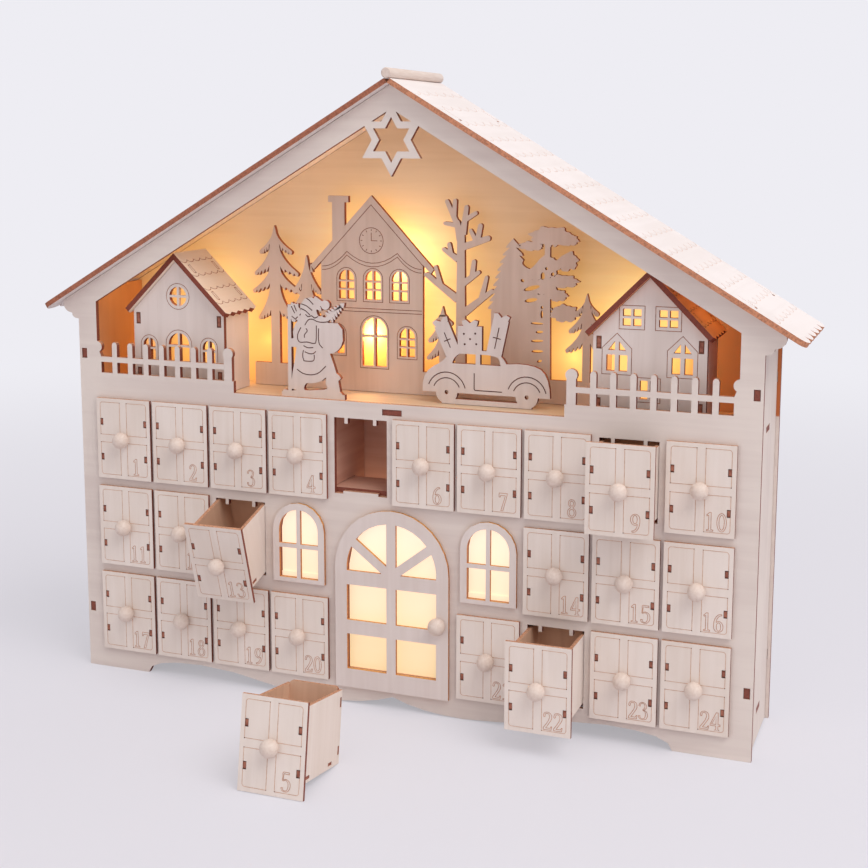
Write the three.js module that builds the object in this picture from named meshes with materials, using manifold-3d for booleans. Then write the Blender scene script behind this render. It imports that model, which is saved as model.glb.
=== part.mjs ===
// Wooden light-up advent calendar house: laser-cut plywood, 24 drawers, a lit winter scene in the gable.
// Millimetres. +X right, +Y to the back, +Z up. Drawings are made with the front face at y = 0.
import * as THREE from 'three';
import { mergeVertices } from 'three/addons/utils/BufferGeometryUtils.js';
import Module from 'manifold-3d';

const wasm = await Module();
wasm.setup();

// Sheet stock and fits
const ply = 3;
const thinPly = 2;
const gap = 0.3;

// House front
const panelWidth = 423;
const houseDepth = 68.5;
const roofPitch = THREE.MathUtils.degToRad(30.5);
const roofOverCottage = 13.3;
const bracketReach = 10.6;
const bracketDepth = 17.7;
const sideInset = 2;
const footWidth = 43.5;
const archHeight = 9.6;
const rafterHeight = 14.1;
const openingSideMargin = 12.8;

// Drawer grid
const columns = 10;
const columnPitch = 40;
const rowPitch = 55.9;
const lowestFrontZ = 13.3;
const frontWidth = 38;
const frontHeight = 50.8;
const bayWidth = 33.5;
const bayHeight = 45.6;
const frontBelowBay = 3.8;
const cornerRadius = 2;

// Drawers
const drawerDepth = 46.5;
const drawerSideClear = 0.25;
const sideBelowBayTop = 2.1;
const backBelowBayTop = 0.4;
const bottomRise = 1.5;
const slotHeight = 4.3;
const slotRecess = 0.4;
const slotHeights = [13.6, 35.9];
const knobDiameter = 10;
const knobSeat = 6;

// Stop pegs and sill of each bay
const pegWidth = 2.1;
const pegLength = 3.4;
const pegOffset = 9.1;
const sillRise = 1.6;
const sillWidth = 22.4;

// Shelves and inner board
const shelfDepth = 29;
const innerBoardY = 48;
const floorAboveBays = 6.5;

// Fences on the front panel
const fenceEnd = 106.8;
const picketEndGap = 12.45;
const picketCount = 7;
const picketWidth = 3.5;
const picketAboveRail = 9.3;
const railDepth = 3.3;
const fenceGapHeight = 6.8;
const lipAboveFloor = 3.5;
const lowFenceAboveLip = 7.1;
const postWidth = 5.4;
const postBall = 3.3;

// Star in the gable
const starRadius = 20.5;
const starInner = 12.8;
const starDrop = 31.5;

// Tabs
const tabLength = 5.6;
const sideTabHeights = [39, 203.3];
const floorTabWidth = 11.6;
const sideTabReach = 12;
const floorTabY = 34;

// Roof
const roofOverhang = 6.5;
const eaveOverhang = 21.1;
const scallops = 6;
const scallopDepth = 4.5;
const dowelDiameter = 6;
const roofSlotLength = 12;
const roofSlotFromRidge = 34.8;
const roofSlotFromWall = 12;

// Door and light windows
const doorWidth = 72;
const doorBottomZ = 10.7;
const doorHeight = 110.8;
const doorStile = 7.6;
const doorSill = 4;
const doorRail = 8.6;
const barWidth = 5.9;
const barAngle = THREE.MathUtils.degToRad(32.5);
const barSpread = THREE.MathUtils.degToRad(5.6);
const fanDrop = 2;
const lightMargin = 0.6;
const windowWidth = 34;
const windowBelowBay = 1.2;
const sashDrop = 1.6;
const windowHeight = 49;
const windowBorder = 4.2;
const windowBar = 2.6;
const diffuserThickness = 0.8;

// Cottages
const cottageCentre = 147.4;
const cottageWidth = 63.4;
const cottageFrontY = 12;
const cottageBackY = 43.5;
const cottageRoofHalf = 36.4;
const cottageHeight = 86;

// Scene layers
const villageY = 52;
const carY = 31;
const figureY = 18;
const stripHeight = 14.5;

// Battery box
const boxWidth = 64;
const boxHeight = 32;
const boxDepth = 12.5;
const boxCentreZ = 100;
const boxWall = 1.6;
const flangeWidth = 4;
const switchTravel = 4;
const switchStem = 3.2;
const switchHeight = 2.4;

// Pose in the photograph
const openBy = { 9: 18, 22: 32 };
const looseDrawer = 5;
const loosePlace = { x: -15, y: -127.5 };
const tippedDrawer = 13;
const tipAngle = THREE.MathUtils.degToRad(16.5);
const tippedOut = 21.2;

// Worked out from the sizes above
const halfPanel = panelWidth / 2;
const slope = Math.tan(roofPitch);
const sideOuter = halfPanel - sideInset;
const sideInner = sideOuter - ply;
const backPanelY = houseDepth - ply;
const shelfBackY = ply + gap + shelfDepth;
const openingHalf = halfPanel - openingSideMargin;
const bayBottom = (row) => lowestFrontZ + (2 - row) * rowPitch + frontBelowBay;
const floorTopZ = bayBottom(0) + bayHeight + floorAboveBays;
const floorBottomZ = floorTopZ - ply;
const ridgeHeight = floorTopZ + cottageHeight + roofOverCottage + slope * cottageCentre;
const bracketHeight = ridgeHeight - slope * halfPanel - bracketDepth;
const starCentreZ = ridgeHeight - starDrop;
const eaveReach = halfPanel + eaveOverhang;
const lipTopZ = floorTopZ + lipAboveFloor;
const fenceBaseZ = lipTopZ + lowFenceAboveLip;
const railBottomZ = fenceBaseZ + fenceGapHeight;
const railTopZ = railBottomZ + railDepth;
const picketTopZ = railTopZ + picketAboveRail;
const picketPitch = (openingHalf - fenceEnd - 2 * picketEndGap) / (picketCount - 1);
const windowCentre = 1.5 * columnPitch;
const windowBottomZ = bayBottom(1) - windowBelowBay;
const windowTopZ = windowBottomZ + windowHeight;
const sashBottomZ = windowBottomZ - sashDrop;
const doorTopZ = doorBottomZ + doorHeight;
const columnX = (column) => (column - (columns - 1) / 2) * columnPitch;
const roofUnder = (x) => ridgeHeight - slope * Math.abs(x);
const boxBottomAbove = frontBelowBay + ply + gap;
const drawerTopAbove = frontBelowBay + bayHeight - sideBelowBayTop;
const backTopAbove = frontBelowBay + bayHeight - backBelowBayTop;
const drawerWidth = bayWidth - 2 * drawerSideClear;

const woodColour = new THREE.Color('#e9d6bf');
const wood = new THREE.MeshStandardMaterial({ color: woodColour, roughness: 0.75, metalness: 0 });
const opal = new THREE.MeshStandardMaterial({ color: '#fff1cc', roughness: 0.5, metalness: 0 });
const plastic = new THREE.MeshStandardMaterial({ color: '#f1efe9', roughness: 0.45, metalness: 0 });

const house = new THREE.Group();

// Builders: a plate is a flat outline given its thickness
function outline(points) {
  const shape = new THREE.Shape();
  points.forEach(([x, y], i) => (i ? shape.lineTo(x, y) : shape.moveTo(x, y)));
  shape.closePath();
  return shape;
}

function rectangle(x0, y0, x1, y1) {
  return outline([[x0, y0], [x1, y0], [x1, y1], [x0, y1]]);
}

function plate(shape, thickness, segments = 6) {
  const { shape: rim, holes } = shape.extractPoints(segments);
  const sheet = prism(rim, thickness);
  if (!holes.length) return sheet;
  return fuse([sheet], holes.map((hole) => prism(hole, 3 * thickness).translate(0, 0, -thickness)));
}

function prism(points, height) {
  const shape = new THREE.Shape(distinct(points));
  return new THREE.ExtrudeGeometry(shape, { depth: height, bevelEnabled: false });
}

// Points of a closed outline without those that fall on the next one
function distinct(points) {
  return points.filter((point, i) => point.distanceTo(points[(i + 1) % points.length]) > 1e-3);
}

// A drawing in x and z, standing up with its front face at y
function upright(shape, thickness, y, segments) {
  return plate(shape, thickness, segments).rotateX(Math.PI / 2).translate(0, y + thickness, 0);
}

// A drawing in y and z, standing across the house with its left face at x
function across(shape, thickness, x, segments) {
  const turn = new THREE.Matrix4().makeBasis(
    new THREE.Vector3(0, 1, 0), new THREE.Vector3(0, 0, 1), new THREE.Vector3(1, 0, 0));
  return plate(shape, thickness, segments).applyMatrix4(turn).translate(x, 0, 0);
}

// A drawing in x and y, lying with its lower face at z
function flat(shape, thickness, z, segments) {
  return plate(shape, thickness, segments).translate(0, 0, z);
}

function block(x0, x1, y0, y1, z0, z1) {
  return flat(rectangle(x0, y0, x1, y1), z1 - z0, z0);
}

function solid(geometry) {
  const bare = geometry.clone();
  bare.deleteAttribute('normal');
  bare.deleteAttribute('uv');
  const merged = mergeVertices(bare, 1e-4);
  const vertProperties = new Float32Array(merged.attributes.position.array);
  const triVerts = new Uint32Array(merged.index.array);
  return new wasm.Manifold(new wasm.Mesh({ numProp: 3, vertProperties, triVerts }));
}

function geometryOf(body) {
  const mesh = body.getMesh();
  const geometry = new THREE.BufferGeometry();
  geometry.setAttribute('position', new THREE.BufferAttribute(mesh.vertProperties, 3));
  geometry.setIndex(new THREE.BufferAttribute(mesh.triVerts, 1));
  return geometry;
}

function fuse(pieces, cuts = []) {
  let body = solid(pieces[0]);
  for (const piece of pieces.slice(1)) body = body.add(solid(piece));
  for (const cut of cuts) body = body.subtract(solid(cut));
  return geometryOf(body);
}

function piece(name, geometry, material = wood, group = house) {
  const mesh = new THREE.Mesh(geometry, material);
  mesh.name = name;
  group.add(mesh);
  return mesh;
}

function mirrored(points) {
  return [...points, ...points.map(([x, y]) => [-x, y]).reverse()];
}

// Outline shared by the front and back panels: feet, arches, brackets and gable
function houseOutline() {
  const footInner = halfPanel - footWidth;
  const lobeX = 45;
  const shape = new THREE.Shape();
  shape.moveTo(0, archHeight * 0.76);
  shape.quadraticCurveTo(18, 0.2, lobeX, 0.2);
  shape.bezierCurveTo(80, 0.2, 95, archHeight, footInner - 38, archHeight);
  shape.quadraticCurveTo(footInner, archHeight, footInner, 0);
  shape.lineTo(halfPanel, 0);
  shape.lineTo(halfPanel, bracketHeight);
  addBracket(shape, 1);
  shape.lineTo(0, ridgeHeight - gap);
  addBracket(shape, -1);
  shape.lineTo(-halfPanel, 0);
  shape.lineTo(-footInner, 0);
  shape.quadraticCurveTo(-footInner, archHeight, 38 - footInner, archHeight);
  shape.bezierCurveTo(-95, archHeight, -80, 0.2, -lobeX, 0.2);
  shape.quadraticCurveTo(-18, 0.2, 0, archHeight * 0.76);
  return shape;
}

// Two rounded lobes that carry the eave outside the wall
function addBracket(shape, side) {
  const tip = halfPanel + bracketReach;
  const cuspX = halfPanel + bracketReach * 0.45;
  const cuspZ = bracketHeight + 3.4;
  const topZ = roofUnder(tip) - gap;
  if (side > 0) {
    shape.quadraticCurveTo(cuspX, bracketHeight, cuspX, cuspZ);
    shape.bezierCurveTo(tip - 1, cuspZ + 0.2, tip + 1, cuspZ + 4, tip, topZ);
    return;
  }
  shape.lineTo(-tip, topZ);
  shape.bezierCurveTo(-tip - 1, cuspZ + 4, 1 - tip, cuspZ + 0.2, -cuspX, cuspZ);
  shape.quadraticCurveTo(-cuspX, bracketHeight, -halfPanel, bracketHeight);
}

// Bay opening with two hanging stop pegs and a raised sill
function bayOpening(x, bottom) {
  const half = bayWidth / 2;
  const top = bottom + bayHeight;
  const peg = pegWidth / 2;
  const sill = sillWidth / 2;
  const right = [
    [sill, bottom + sillRise], [sill, bottom], [half, bottom], [half, top],
    [pegOffset + peg, top], [pegOffset + peg, top - pegLength],
    [pegOffset - peg, top - pegLength], [pegOffset - peg, top]];
  return outline(mirrored(right).map(([u, v]) => [x + u, v]));
}

// Numbers of the drawers by column and row, nothing where the door and windows stand
function drawerPlaces() {
  const places = [];
  let number = 1;
  for (let row = 0; row < 3; row += 1) {
    for (let column = 0; column < columns; column += 1) {
      const middle = Math.abs(column - (columns - 1) / 2);
      const taken = (row === 1 && middle < 2) || (row === 2 && middle < 1);
      if (taken) continue;
      places.push({ number, column, row });
      number += 1;
    }
  }
  return places;
}
const places = drawerPlaces();

// Arched opening: straight sides, half-round top
function arch(x, bottom, top, width, shrink = 0) {
  const half = width / 2 - shrink;
  const shape = new THREE.Shape();
  shape.moveTo(x - half, bottom + shrink);
  shape.lineTo(x + half, bottom + shrink);
  shape.lineTo(x + half, top - width / 2);
  shape.absarc(x, top - width / 2, half, 0, Math.PI, false);
  shape.closePath();
  return shape;
}

// Panes of an arched window: a cross of bars over the inner arch
function archPanes(x, bottom, top, width, border, bar, rows) {
  const inner = width / 2 - border;
  const springZ = top - width / 2;
  const floorZ = bottom + border;
  const crossbars = rows.map((share) => floorZ + share * (top - border - floorZ));
  const levels = [floorZ, ...crossbars, top - border];
  const panes = [];
  for (const side of [-1, 1]) {
    for (let i = 0; i + 1 < levels.length; i += 1) {
      const z0 = levels[i] + (i ? bar / 2 : 0);
      const z1 = levels[i + 1] - bar / 2;
      const x0 = x + side * (bar / 2);
      const x1 = x + side * inner;
      if (i + 2 < levels.length) panes.push(rectangle(Math.min(x0, x1), z0, Math.max(x0, x1), z1));
      else panes.push(archPane(x, side, bar / 2, inner, z0, springZ));
    }
  }
  return panes;
}

function archPane(x, side, near, radius, z0, springZ) {
  const shape = new THREE.Shape();
  const start = Math.acos(near / radius);
  shape.moveTo(x + side * near, z0);
  shape.lineTo(x + side * near, springZ + radius * Math.sin(start));
  const from = side > 0 ? start : Math.PI - start;
  const to = side > 0 ? 0 : Math.PI;
  shape.absarc(x, springZ, radius, from, to, side > 0);
  shape.lineTo(x + side * radius, z0);
  shape.closePath();
  return shape;
}

// Door panes: a fan light of four sectors over two rows of two
function doorPanes() {
  const radius = doorWidth / 2 - doorStile;
  const near = barWidth / 2;
  const fanZ = doorTopZ - doorWidth / 2 - 0.4;
  const railTop = fanZ - fanDrop;
  const lowerZ = doorBottomZ + doorSill + doorStile;
  const rowHeight = (railTop - lowerZ - 2 * doorRail) / 2;
  const panes = [];
  for (const side of [-1, 1]) {
    for (const z of [lowerZ, lowerZ + rowHeight + doorRail]) {
      const x0 = side * near;
      const x1 = side * radius;
      panes.push(rectangle(Math.min(x0, x1), z, Math.max(x0, x1), z + rowHeight));
    }
    panes.push(upperFanPane(side, radius, near, fanZ), lowerFanPane(side, radius, fanZ));
  }
  return panes;
}

// Fan light sector beside the middle bar
function upperFanPane(side, radius, near, centreZ) {
  const tip = [near, centreZ + near * 0.9];
  return sector(side, tip, radius, centreZ, barAngle + barSpread, Math.acos(near / radius));
}

// Fan light sector over the door's upper rail
function lowerFanPane(side, radius, centreZ) {
  const tip = [barWidth, centreZ - fanDrop];
  return sector(side, tip, radius, centreZ, -Math.asin(fanDrop / radius), barAngle - barSpread);
}

function sector(side, tip, radius, centreZ, from, to) {
  const steps = 4;
  const points = [tip];
  for (let i = 0; i <= steps; i += 1) {
    const angle = from + ((to - from) * i) / steps;
    points.push([radius * Math.cos(angle), centreZ + radius * Math.sin(angle)]);
  }
  return outline(points.map(([x, z]) => [side * x, z]));
}

// Front panel: bays, gable opening, star and two picket fences, all cut from one sheet
function frontPanel() {
  const shape = houseOutline();
  for (const { column, row } of places) shape.holes.push(bayOpening(columnX(column), bayBottom(row)));
  shape.holes.push(gableOpening());
  shape.holes.push(arch(0, doorBottomZ + doorSill, doorTopZ, doorWidth, doorStile - lightMargin));
  for (const side of [-1, 1]) {
    const x = side * windowCentre;
    shape.holes.push(arch(x, sashBottomZ, windowTopZ, windowWidth, windowBorder - lightMargin));
    for (const z of sideTabHeights) shape.holes.push(sideTabHole(side, z));
  }
  shape.holes.push(tabHole(0, floorTopZ - ply / 2, floorTabWidth, ply));
  const sheet = upright(shape, ply, 0, 4);
  const additions = [starRing(), fence(-1), fence(1)].map((drawing) => upright(drawing, ply, 0, 2));
  return fuse([sheet, ...additions]);
}

function sideTabHole(side, z) {
  return tabHole(side * (sideOuter - ply / 2), z, ply, tabLength);
}

function tabHole(x, z, width, height) {
  return rectangle(x - width / 2 - gap, z - height / 2 - gap, x + width / 2 + gap, z + height / 2 + gap);
}

function windowPanes(x) {
  return archPanes(x, sashBottomZ, windowTopZ, windowWidth, windowBorder, windowBar, [0.47]);
}

function gableOpening() {
  const apexZ = ridgeHeight - rafterHeight;
  const side = [[fenceEnd - postWidth / 2 - 1, lipTopZ], [fenceEnd - postWidth / 2 - 1, fenceBaseZ],
    [openingHalf, fenceBaseZ], [openingHalf, apexZ - slope * openingHalf], [0, apexZ]];
  return outline([...side, ...side.slice(0, 4).map(([x, z]) => [-x, z]).reverse()]);
}

function starRing() {
  const ring = outline(starPoints(starRadius));
  ring.holes.push(outline(starPoints(starInner)));
  return ring;
}

function starPoints(radius) {
  const points = [];
  for (let i = 0; i < 12; i += 1) {
    const reach = i % 2 ? radius / Math.sqrt(3) : radius;
    const angle = Math.PI / 2 + (i * Math.PI) / 6;
    points.push([reach * Math.cos(angle), starCentreZ + reach * Math.sin(angle)]);
  }
  return points;
}

// Picket fence: rail, round-topped pickets, a ball-topped post at the inner end, half a post at the wall
function fence(side) {
  const top = new THREE.Shape();
  const half = picketWidth / 2;
  const innerX = fenceEnd - postWidth / 2;
  const footZ = fenceBaseZ - 1;
  top.moveTo(innerX, footZ);
  top.lineTo(openingHalf + 1, footZ);
  top.lineTo(openingHalf + 1, picketTopZ - 0.5);
  top.lineTo(openingHalf, picketTopZ - 0.5);
  top.absarc(openingHalf, picketTopZ - 2 - postBall * 0.4, postBall, Math.PI / 2, Math.PI * 1.35, false);
  top.lineTo(openingHalf - postWidth / 2, railTopZ);
  for (let i = picketCount - 1; i >= 0; i -= 1) {
    const x = picketX(i);
    top.lineTo(x + half, railTopZ);
    top.lineTo(x + half, picketTopZ - half);
    top.absarc(x, picketTopZ - half, half, 0, Math.PI, false);
    top.lineTo(x - half, railTopZ);
  }
  top.lineTo(fenceEnd + postWidth / 2, railTopZ);
  top.lineTo(fenceEnd + postWidth / 2, picketTopZ - 5);
  top.absarc(fenceEnd, picketTopZ + 0.4 - postBall, postBall, -0.6, Math.PI + 0.6, false);
  top.lineTo(innerX, picketTopZ - 5);
  top.closePath();
  for (const [x0, x1] of fenceGaps(half)) top.holes.push(rectangle(x0, fenceBaseZ, x1, railBottomZ));
  return side > 0 ? top : flipped(top);
}

function picketX(index) {
  return fenceEnd + picketEndGap + index * picketPitch;
}

function fenceGaps(half) {
  const edges = [fenceEnd + postWidth / 2];
  for (let i = 0; i < picketCount; i += 1) edges.push(picketX(i) - half, picketX(i) + half);
  edges.push(openingHalf - postWidth / 2);
  const gaps = [];
  for (let i = 0; i < edges.length; i += 2) gaps.push([edges[i], edges[i + 1]]);
  return gaps;
}

// Mirror a drawing left to right
function flipped(shape, segments = 2) {
  const { shape: points, holes } = shape.extractPoints(segments);
  const turned = outline(points.map((p) => [-p.x, p.y]));
  turned.holes = holes.map((hole) => outline(hole.map((p) => [-p.x, p.y])));
  return turned;
}

// Back panel: same outline, with the battery box's cut-out
function backPanel() {
  const shape = houseOutline();
  const halfX = boxWidth / 2 + gap;
  const halfZ = boxHeight / 2 + gap;
  shape.holes.push(rectangle(-halfX, boxCentreZ - halfZ, halfX, boxCentreZ + halfZ));
  for (const side of [-1, 1]) {
    for (const z of sideTabHeights) shape.holes.push(sideTabHole(side, z));
  }
  return upright(shape, ply, backPanelY, 3);
}

// Side panel with tabs into both faces and slots for the floor boards' tabs
function sidePanel(side) {
  const front = ply + gap;
  const back = backPanelY - gap;
  const topZ = roofUnder(sideOuter) - gap;
  const bottomZ = 1;
  const points = [[front, bottomZ]];
  points.push([back, bottomZ]);
  for (const z of sideTabHeights) points.push(...tabSteps(back, houseDepth - gap, z, 1));
  points.push([back, topZ], [front, topZ]);
  for (const z of [...sideTabHeights].reverse()) points.push(...tabSteps(front, gap, z, -1));
  const shape = outline(points);
  for (const z of [baseTopZ() - ply / 2, floorTopZ - ply / 2]) {
    shape.holes.push(rectangle(floorTabY - sideTabReach / 2 - gap, z - ply / 2 - gap,
      floorTabY + sideTabReach / 2 + gap, z + ply / 2 + gap));
  }
  return across(shape, ply, side > 0 ? sideInner : -sideOuter);
}
function tabSteps(edge, reach, z, order) {
  const low = z - (order * tabLength) / 2;
  const high = z + (order * tabLength) / 2;
  return [[edge, low], [reach, low], [reach, high], [edge, high]];
}

function baseTopZ() {
  return bayBottom(2) + ply;
}

// Board that lies between the side panels with a tab through each
function lyingBoard(topZ, frontY, backY, frontTab) {
  const half = sideInner - gap;
  const reach = sideOuter;
  const y0 = floorTabY - sideTabReach / 2;
  const y1 = floorTabY + sideTabReach / 2;
  const right = [[half, frontY], [half, y0], [reach, y0], [reach, y1], [half, y1], [half, backY]];
  const left = right.map(([x, y]) => [-x, y]).reverse();
  const tab = frontTab ? [[-floorTabWidth / 2, frontY], [-floorTabWidth / 2, gap],
    [floorTabWidth / 2, gap], [floorTabWidth / 2, frontY]] : [];
  return flat(outline([...tab, ...right, ...left]), ply, topZ - ply);
}

// Divider: a comb that stands on the base board and lets the shelves through
function divider(boundary) {
  const x = boundary * columnPitch;
  const tall = boundary !== 0;
  const front = ply + gap;
  const back = innerBoardY - gap;
  const bottomZ = (tall ? baseTopZ() : bayBottom(0) + ply) + gap;
  const topZ = floorBottomZ - gap;
  const shelfLevels = [];
  if (Math.abs(boundary) > 1) shelfLevels.push(bayBottom(1));
  if (tall) shelfLevels.push(bayBottom(0));
  const points = [[front, bottomZ], [back, bottomZ], [back, topZ], [front, topZ]];
  for (const z of shelfLevels.reverse()) {
    const notch = [[front, z + ply + gap], [shelfBackY + gap, z + ply + gap], [shelfBackY + gap, z - gap]];
    points.push(...notch, [front, z - gap]);
  }
  const comb = across(outline(points), ply, x - ply / 2);
  if (Math.abs(boundary) !== 1) return comb;
  const relief = diffuserThickness + 2 * gap;
  return fuse([comb], [block(x - ply, x + ply, 0, ply + gap + relief, windowBottomZ - 2, windowTopZ + 2)]);
}

// Shelf strip behind the front panel
function shelf(topZ, x0, x1) {
  return block(x0, x1, ply + gap, shelfBackY, topZ - ply, topZ);
}

// Board behind the bays, open where light goes to the door and the windows
function innerBoard() {
  const half = sideInner - gap;
  const shape = rectangle(-half, baseTopZ() + gap, half, floorBottomZ - gap);
  shape.holes.push(rectangle(-columnPitch + ply, baseTopZ() + 6, columnPitch - ply, bayBottom(0) - 6));
  for (const side of [-1, 1]) {
    const x = side * windowCentre;
    const reach = columnPitch / 2 - ply;
    shape.holes.push(rectangle(x - reach, windowBottomZ, x + reach, windowTopZ));
  }
  return upright(shape, thinPly, innerBoardY);
}

// Roof panel drawn from the ridge down the slope, with a scalloped eave and tab slots
function roofPanel(side) {
  const y0 = -roofOverhang;
  const y1 = houseDepth + roofOverhang;
  const start = gap;
  const end = eaveReach / Math.cos(roofPitch) - scallopDepth;
  const pitch = (y1 - y0) / scallops;
  const shape = new THREE.Shape();
  shape.moveTo(start, y0);
  shape.lineTo(end, y0);
  for (let i = 0; i < scallops; i += 1) {
    const y = y0 + i * pitch;
    shape.quadraticCurveTo(end + scallopDepth * 0.95, y + pitch * 0.06, end + scallopDepth, y + pitch / 2);
    shape.quadraticCurveTo(end + scallopDepth * 0.95, y + pitch * 0.94, end, y + pitch);
  }
  shape.lineTo(start, y1);
  shape.closePath();
  for (const place of [roofSlotFromRidge, halfPanel - roofSlotFromWall]) {
    const u = place / Math.cos(roofPitch);
    for (const y of [ply / 2, houseDepth - ply / 2]) {
      const half = roofSlotLength / 2;
      shape.holes.push(rectangle(u - half, y - ply / 2, u + half, y + ply / 2));
    }
  }
  const board = plate(shape, ply, 3);
  const down = new THREE.Vector3(Math.cos(roofPitch), 0, -Math.sin(roofPitch));
  const turn = new THREE.Matrix4().makeBasis(down, new THREE.Vector3(0, 1, 0),
    new THREE.Vector3(Math.sin(roofPitch), 0, Math.cos(roofPitch)));
  board.applyMatrix4(turn).translate(0, 0, ridgeHeight);
  if (side < 0) board.rotateZ(Math.PI).translate(0, houseDepth, 0);
  return board;
}

function ridgeDowel() {
  const radius = dowelDiameter / 2;
  const notch = ply * Math.sin(roofPitch) + gap;
  const notchZ = ridgeHeight + ply * Math.cos(roofPitch);
  const z = notchZ + Math.sqrt((radius + gap) ** 2 - notch ** 2);
  const length = houseDepth + 2 * roofOverhang + 2;
  const rod = new THREE.CylinderGeometry(radius, radius, length, 20);
  return rod.translate(0, houseDepth / 2, z);
}

// Drawer: front board with slots for the side tabs, box behind it, ball knob
function drawer() {
  const side = drawerWidth / 2;
  const sideZ = [boxBottomAbove, drawerTopAbove];
  const front = block(-frontWidth / 2, frontWidth / 2, -thinPly, 0, 0, frontHeight);
  const inset = thinPly / 2;
  const boards = [front];
  for (const sign of [-1, 1]) {
    const x0 = sign > 0 ? side - thinPly : -side;
    boards.push(block(x0, x0 + thinPly, -inset, drawerDepth, ...sideZ));
  }
  boards.push(drawerBack(side));
  const bottomZ = boxBottomAbove + bottomRise;
  boards.push(block(-side + inset, side - inset, -inset, drawerDepth - inset, bottomZ, bottomZ + thinPly));
  boards.push(knob(0, -thinPly, frontHeight / 2));
  const pockets = [];
  for (const sign of [-1, 1]) {
    for (const z of slotHeights) {
      const x = sign * (side - inset);
      const half = slotHeight / 2;
      pockets.push(block(x - inset, x + inset, -2 * thinPly, slotRecess - thinPly, z - half, z + half));
    }
  }
  return fuse(boards, pockets);
}

function drawerBack(side) {
  const half = side - thinPly / 2;
  const shape = new THREE.Shape();
  shape.moveTo(-half, boxBottomAbove);
  shape.lineTo(half, boxBottomAbove);
  shape.lineTo(half, drawerTopAbove - 1);
  shape.lineTo(half - 1, drawerTopAbove - 1);
  shape.lineTo(half - 1, backTopAbove - cornerRadius / 2);
  shape.quadraticCurveTo(half - 1, backTopAbove, half - 1 - cornerRadius, backTopAbove);
  shape.lineTo(-half + 1 + cornerRadius, backTopAbove);
  shape.quadraticCurveTo(-half + 1, backTopAbove, -half + 1, backTopAbove - cornerRadius / 2);
  shape.lineTo(-half + 1, drawerTopAbove - 1);
  shape.lineTo(-half, drawerTopAbove - 1);
  shape.closePath();
  return upright(shape, thinPly, drawerDepth - thinPly, 2);
}

// Ball knob with a flat seat, turned about the y axis
function knob(x, faceY, z) {
  const radius = knobDiameter / 2;
  const seat = knobSeat / 2;
  const seatDrop = Math.sqrt(radius ** 2 - seat ** 2);
  const rings = 4;
  const profile = [new THREE.Vector2(0, 0), new THREE.Vector2(seat, 0)];
  const start = Math.acos(seatDrop / radius);
  for (let i = 1; i <= rings; i += 1) {
    const angle = start + ((Math.PI - start) * i) / rings;
    const reach = i === rings ? 0 : radius * Math.sin(angle);
    profile.push(new THREE.Vector2(reach, seatDrop - radius * Math.cos(angle)));
  }
  const ball = new THREE.LatheGeometry(profile, 8);
  return ball.rotateX(Math.PI).translate(x, faceY + 0.2, z);
}

// Entrance door and windows are frames glued on the front panel
function entranceDoor() {
  const shape = arch(0, doorBottomZ, doorTopZ, doorWidth);
  shape.holes.push(...doorPanes());
  const frame = upright(shape, thinPly, -thinPly - gap, 8);
  const knobX = doorWidth / 2 - 6;
  return fuse([frame, knob(knobX, -thinPly - gap, 56.3)]);
}

function windowFrame(x) {
  const shape = arch(x, windowBottomZ, windowTopZ, windowWidth);
  shape.holes.push(...windowPanes(x));
  return upright(shape, thinPly, -thinPly - gap, 5);
}

// Opal sheet behind the door and both windows, in one T
function lightDiffuser() {
  const reach = windowCentre + columnPitch / 2 - ply / 2 - gap;
  const doorHalf = columnPitch - ply / 2 - gap;
  const low = baseTopZ() + gap;
  const high = bayBottom(0) - gap;
  const armZ = bayBottom(1) + ply + gap;
  const arm = [[doorHalf, armZ], [reach, armZ], [reach, windowTopZ], [doorHalf, windowTopZ]];
  const right = [[doorHalf, low], ...arm, [doorHalf, high]];
  return upright(outline(mirrored(right)), diffuserThickness, ply + gap);
}

// Cottage: a gabled front with its side walls, open at the back
function cottageWalls(centre, cuts) {
  const half = cottageWidth / 2;
  const eaveZ = cottageRoofUnder(half) - gap;
  const front = outline([[-half, gap], [half, gap], [half, eaveZ], [0, cottageRoofUnder(0) - gap],
    [-half, eaveZ]]);
  front.holes.push(...cuts);
  const y0 = cottageFrontY + ply - 0.5;
  const walls = [upright(front, ply, cottageFrontY, 2)];
  for (const x of [-half, half - ply]) walls.push(block(x, x + ply, y0, cottageBackY, gap, eaveZ));
  return fuse(walls).translate(centre, 0, floorTopZ);
}

function cottageRoofUnder(x) {
  return cottageHeight - ply * Math.SQRT2 - Math.abs(x);
}

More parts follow.
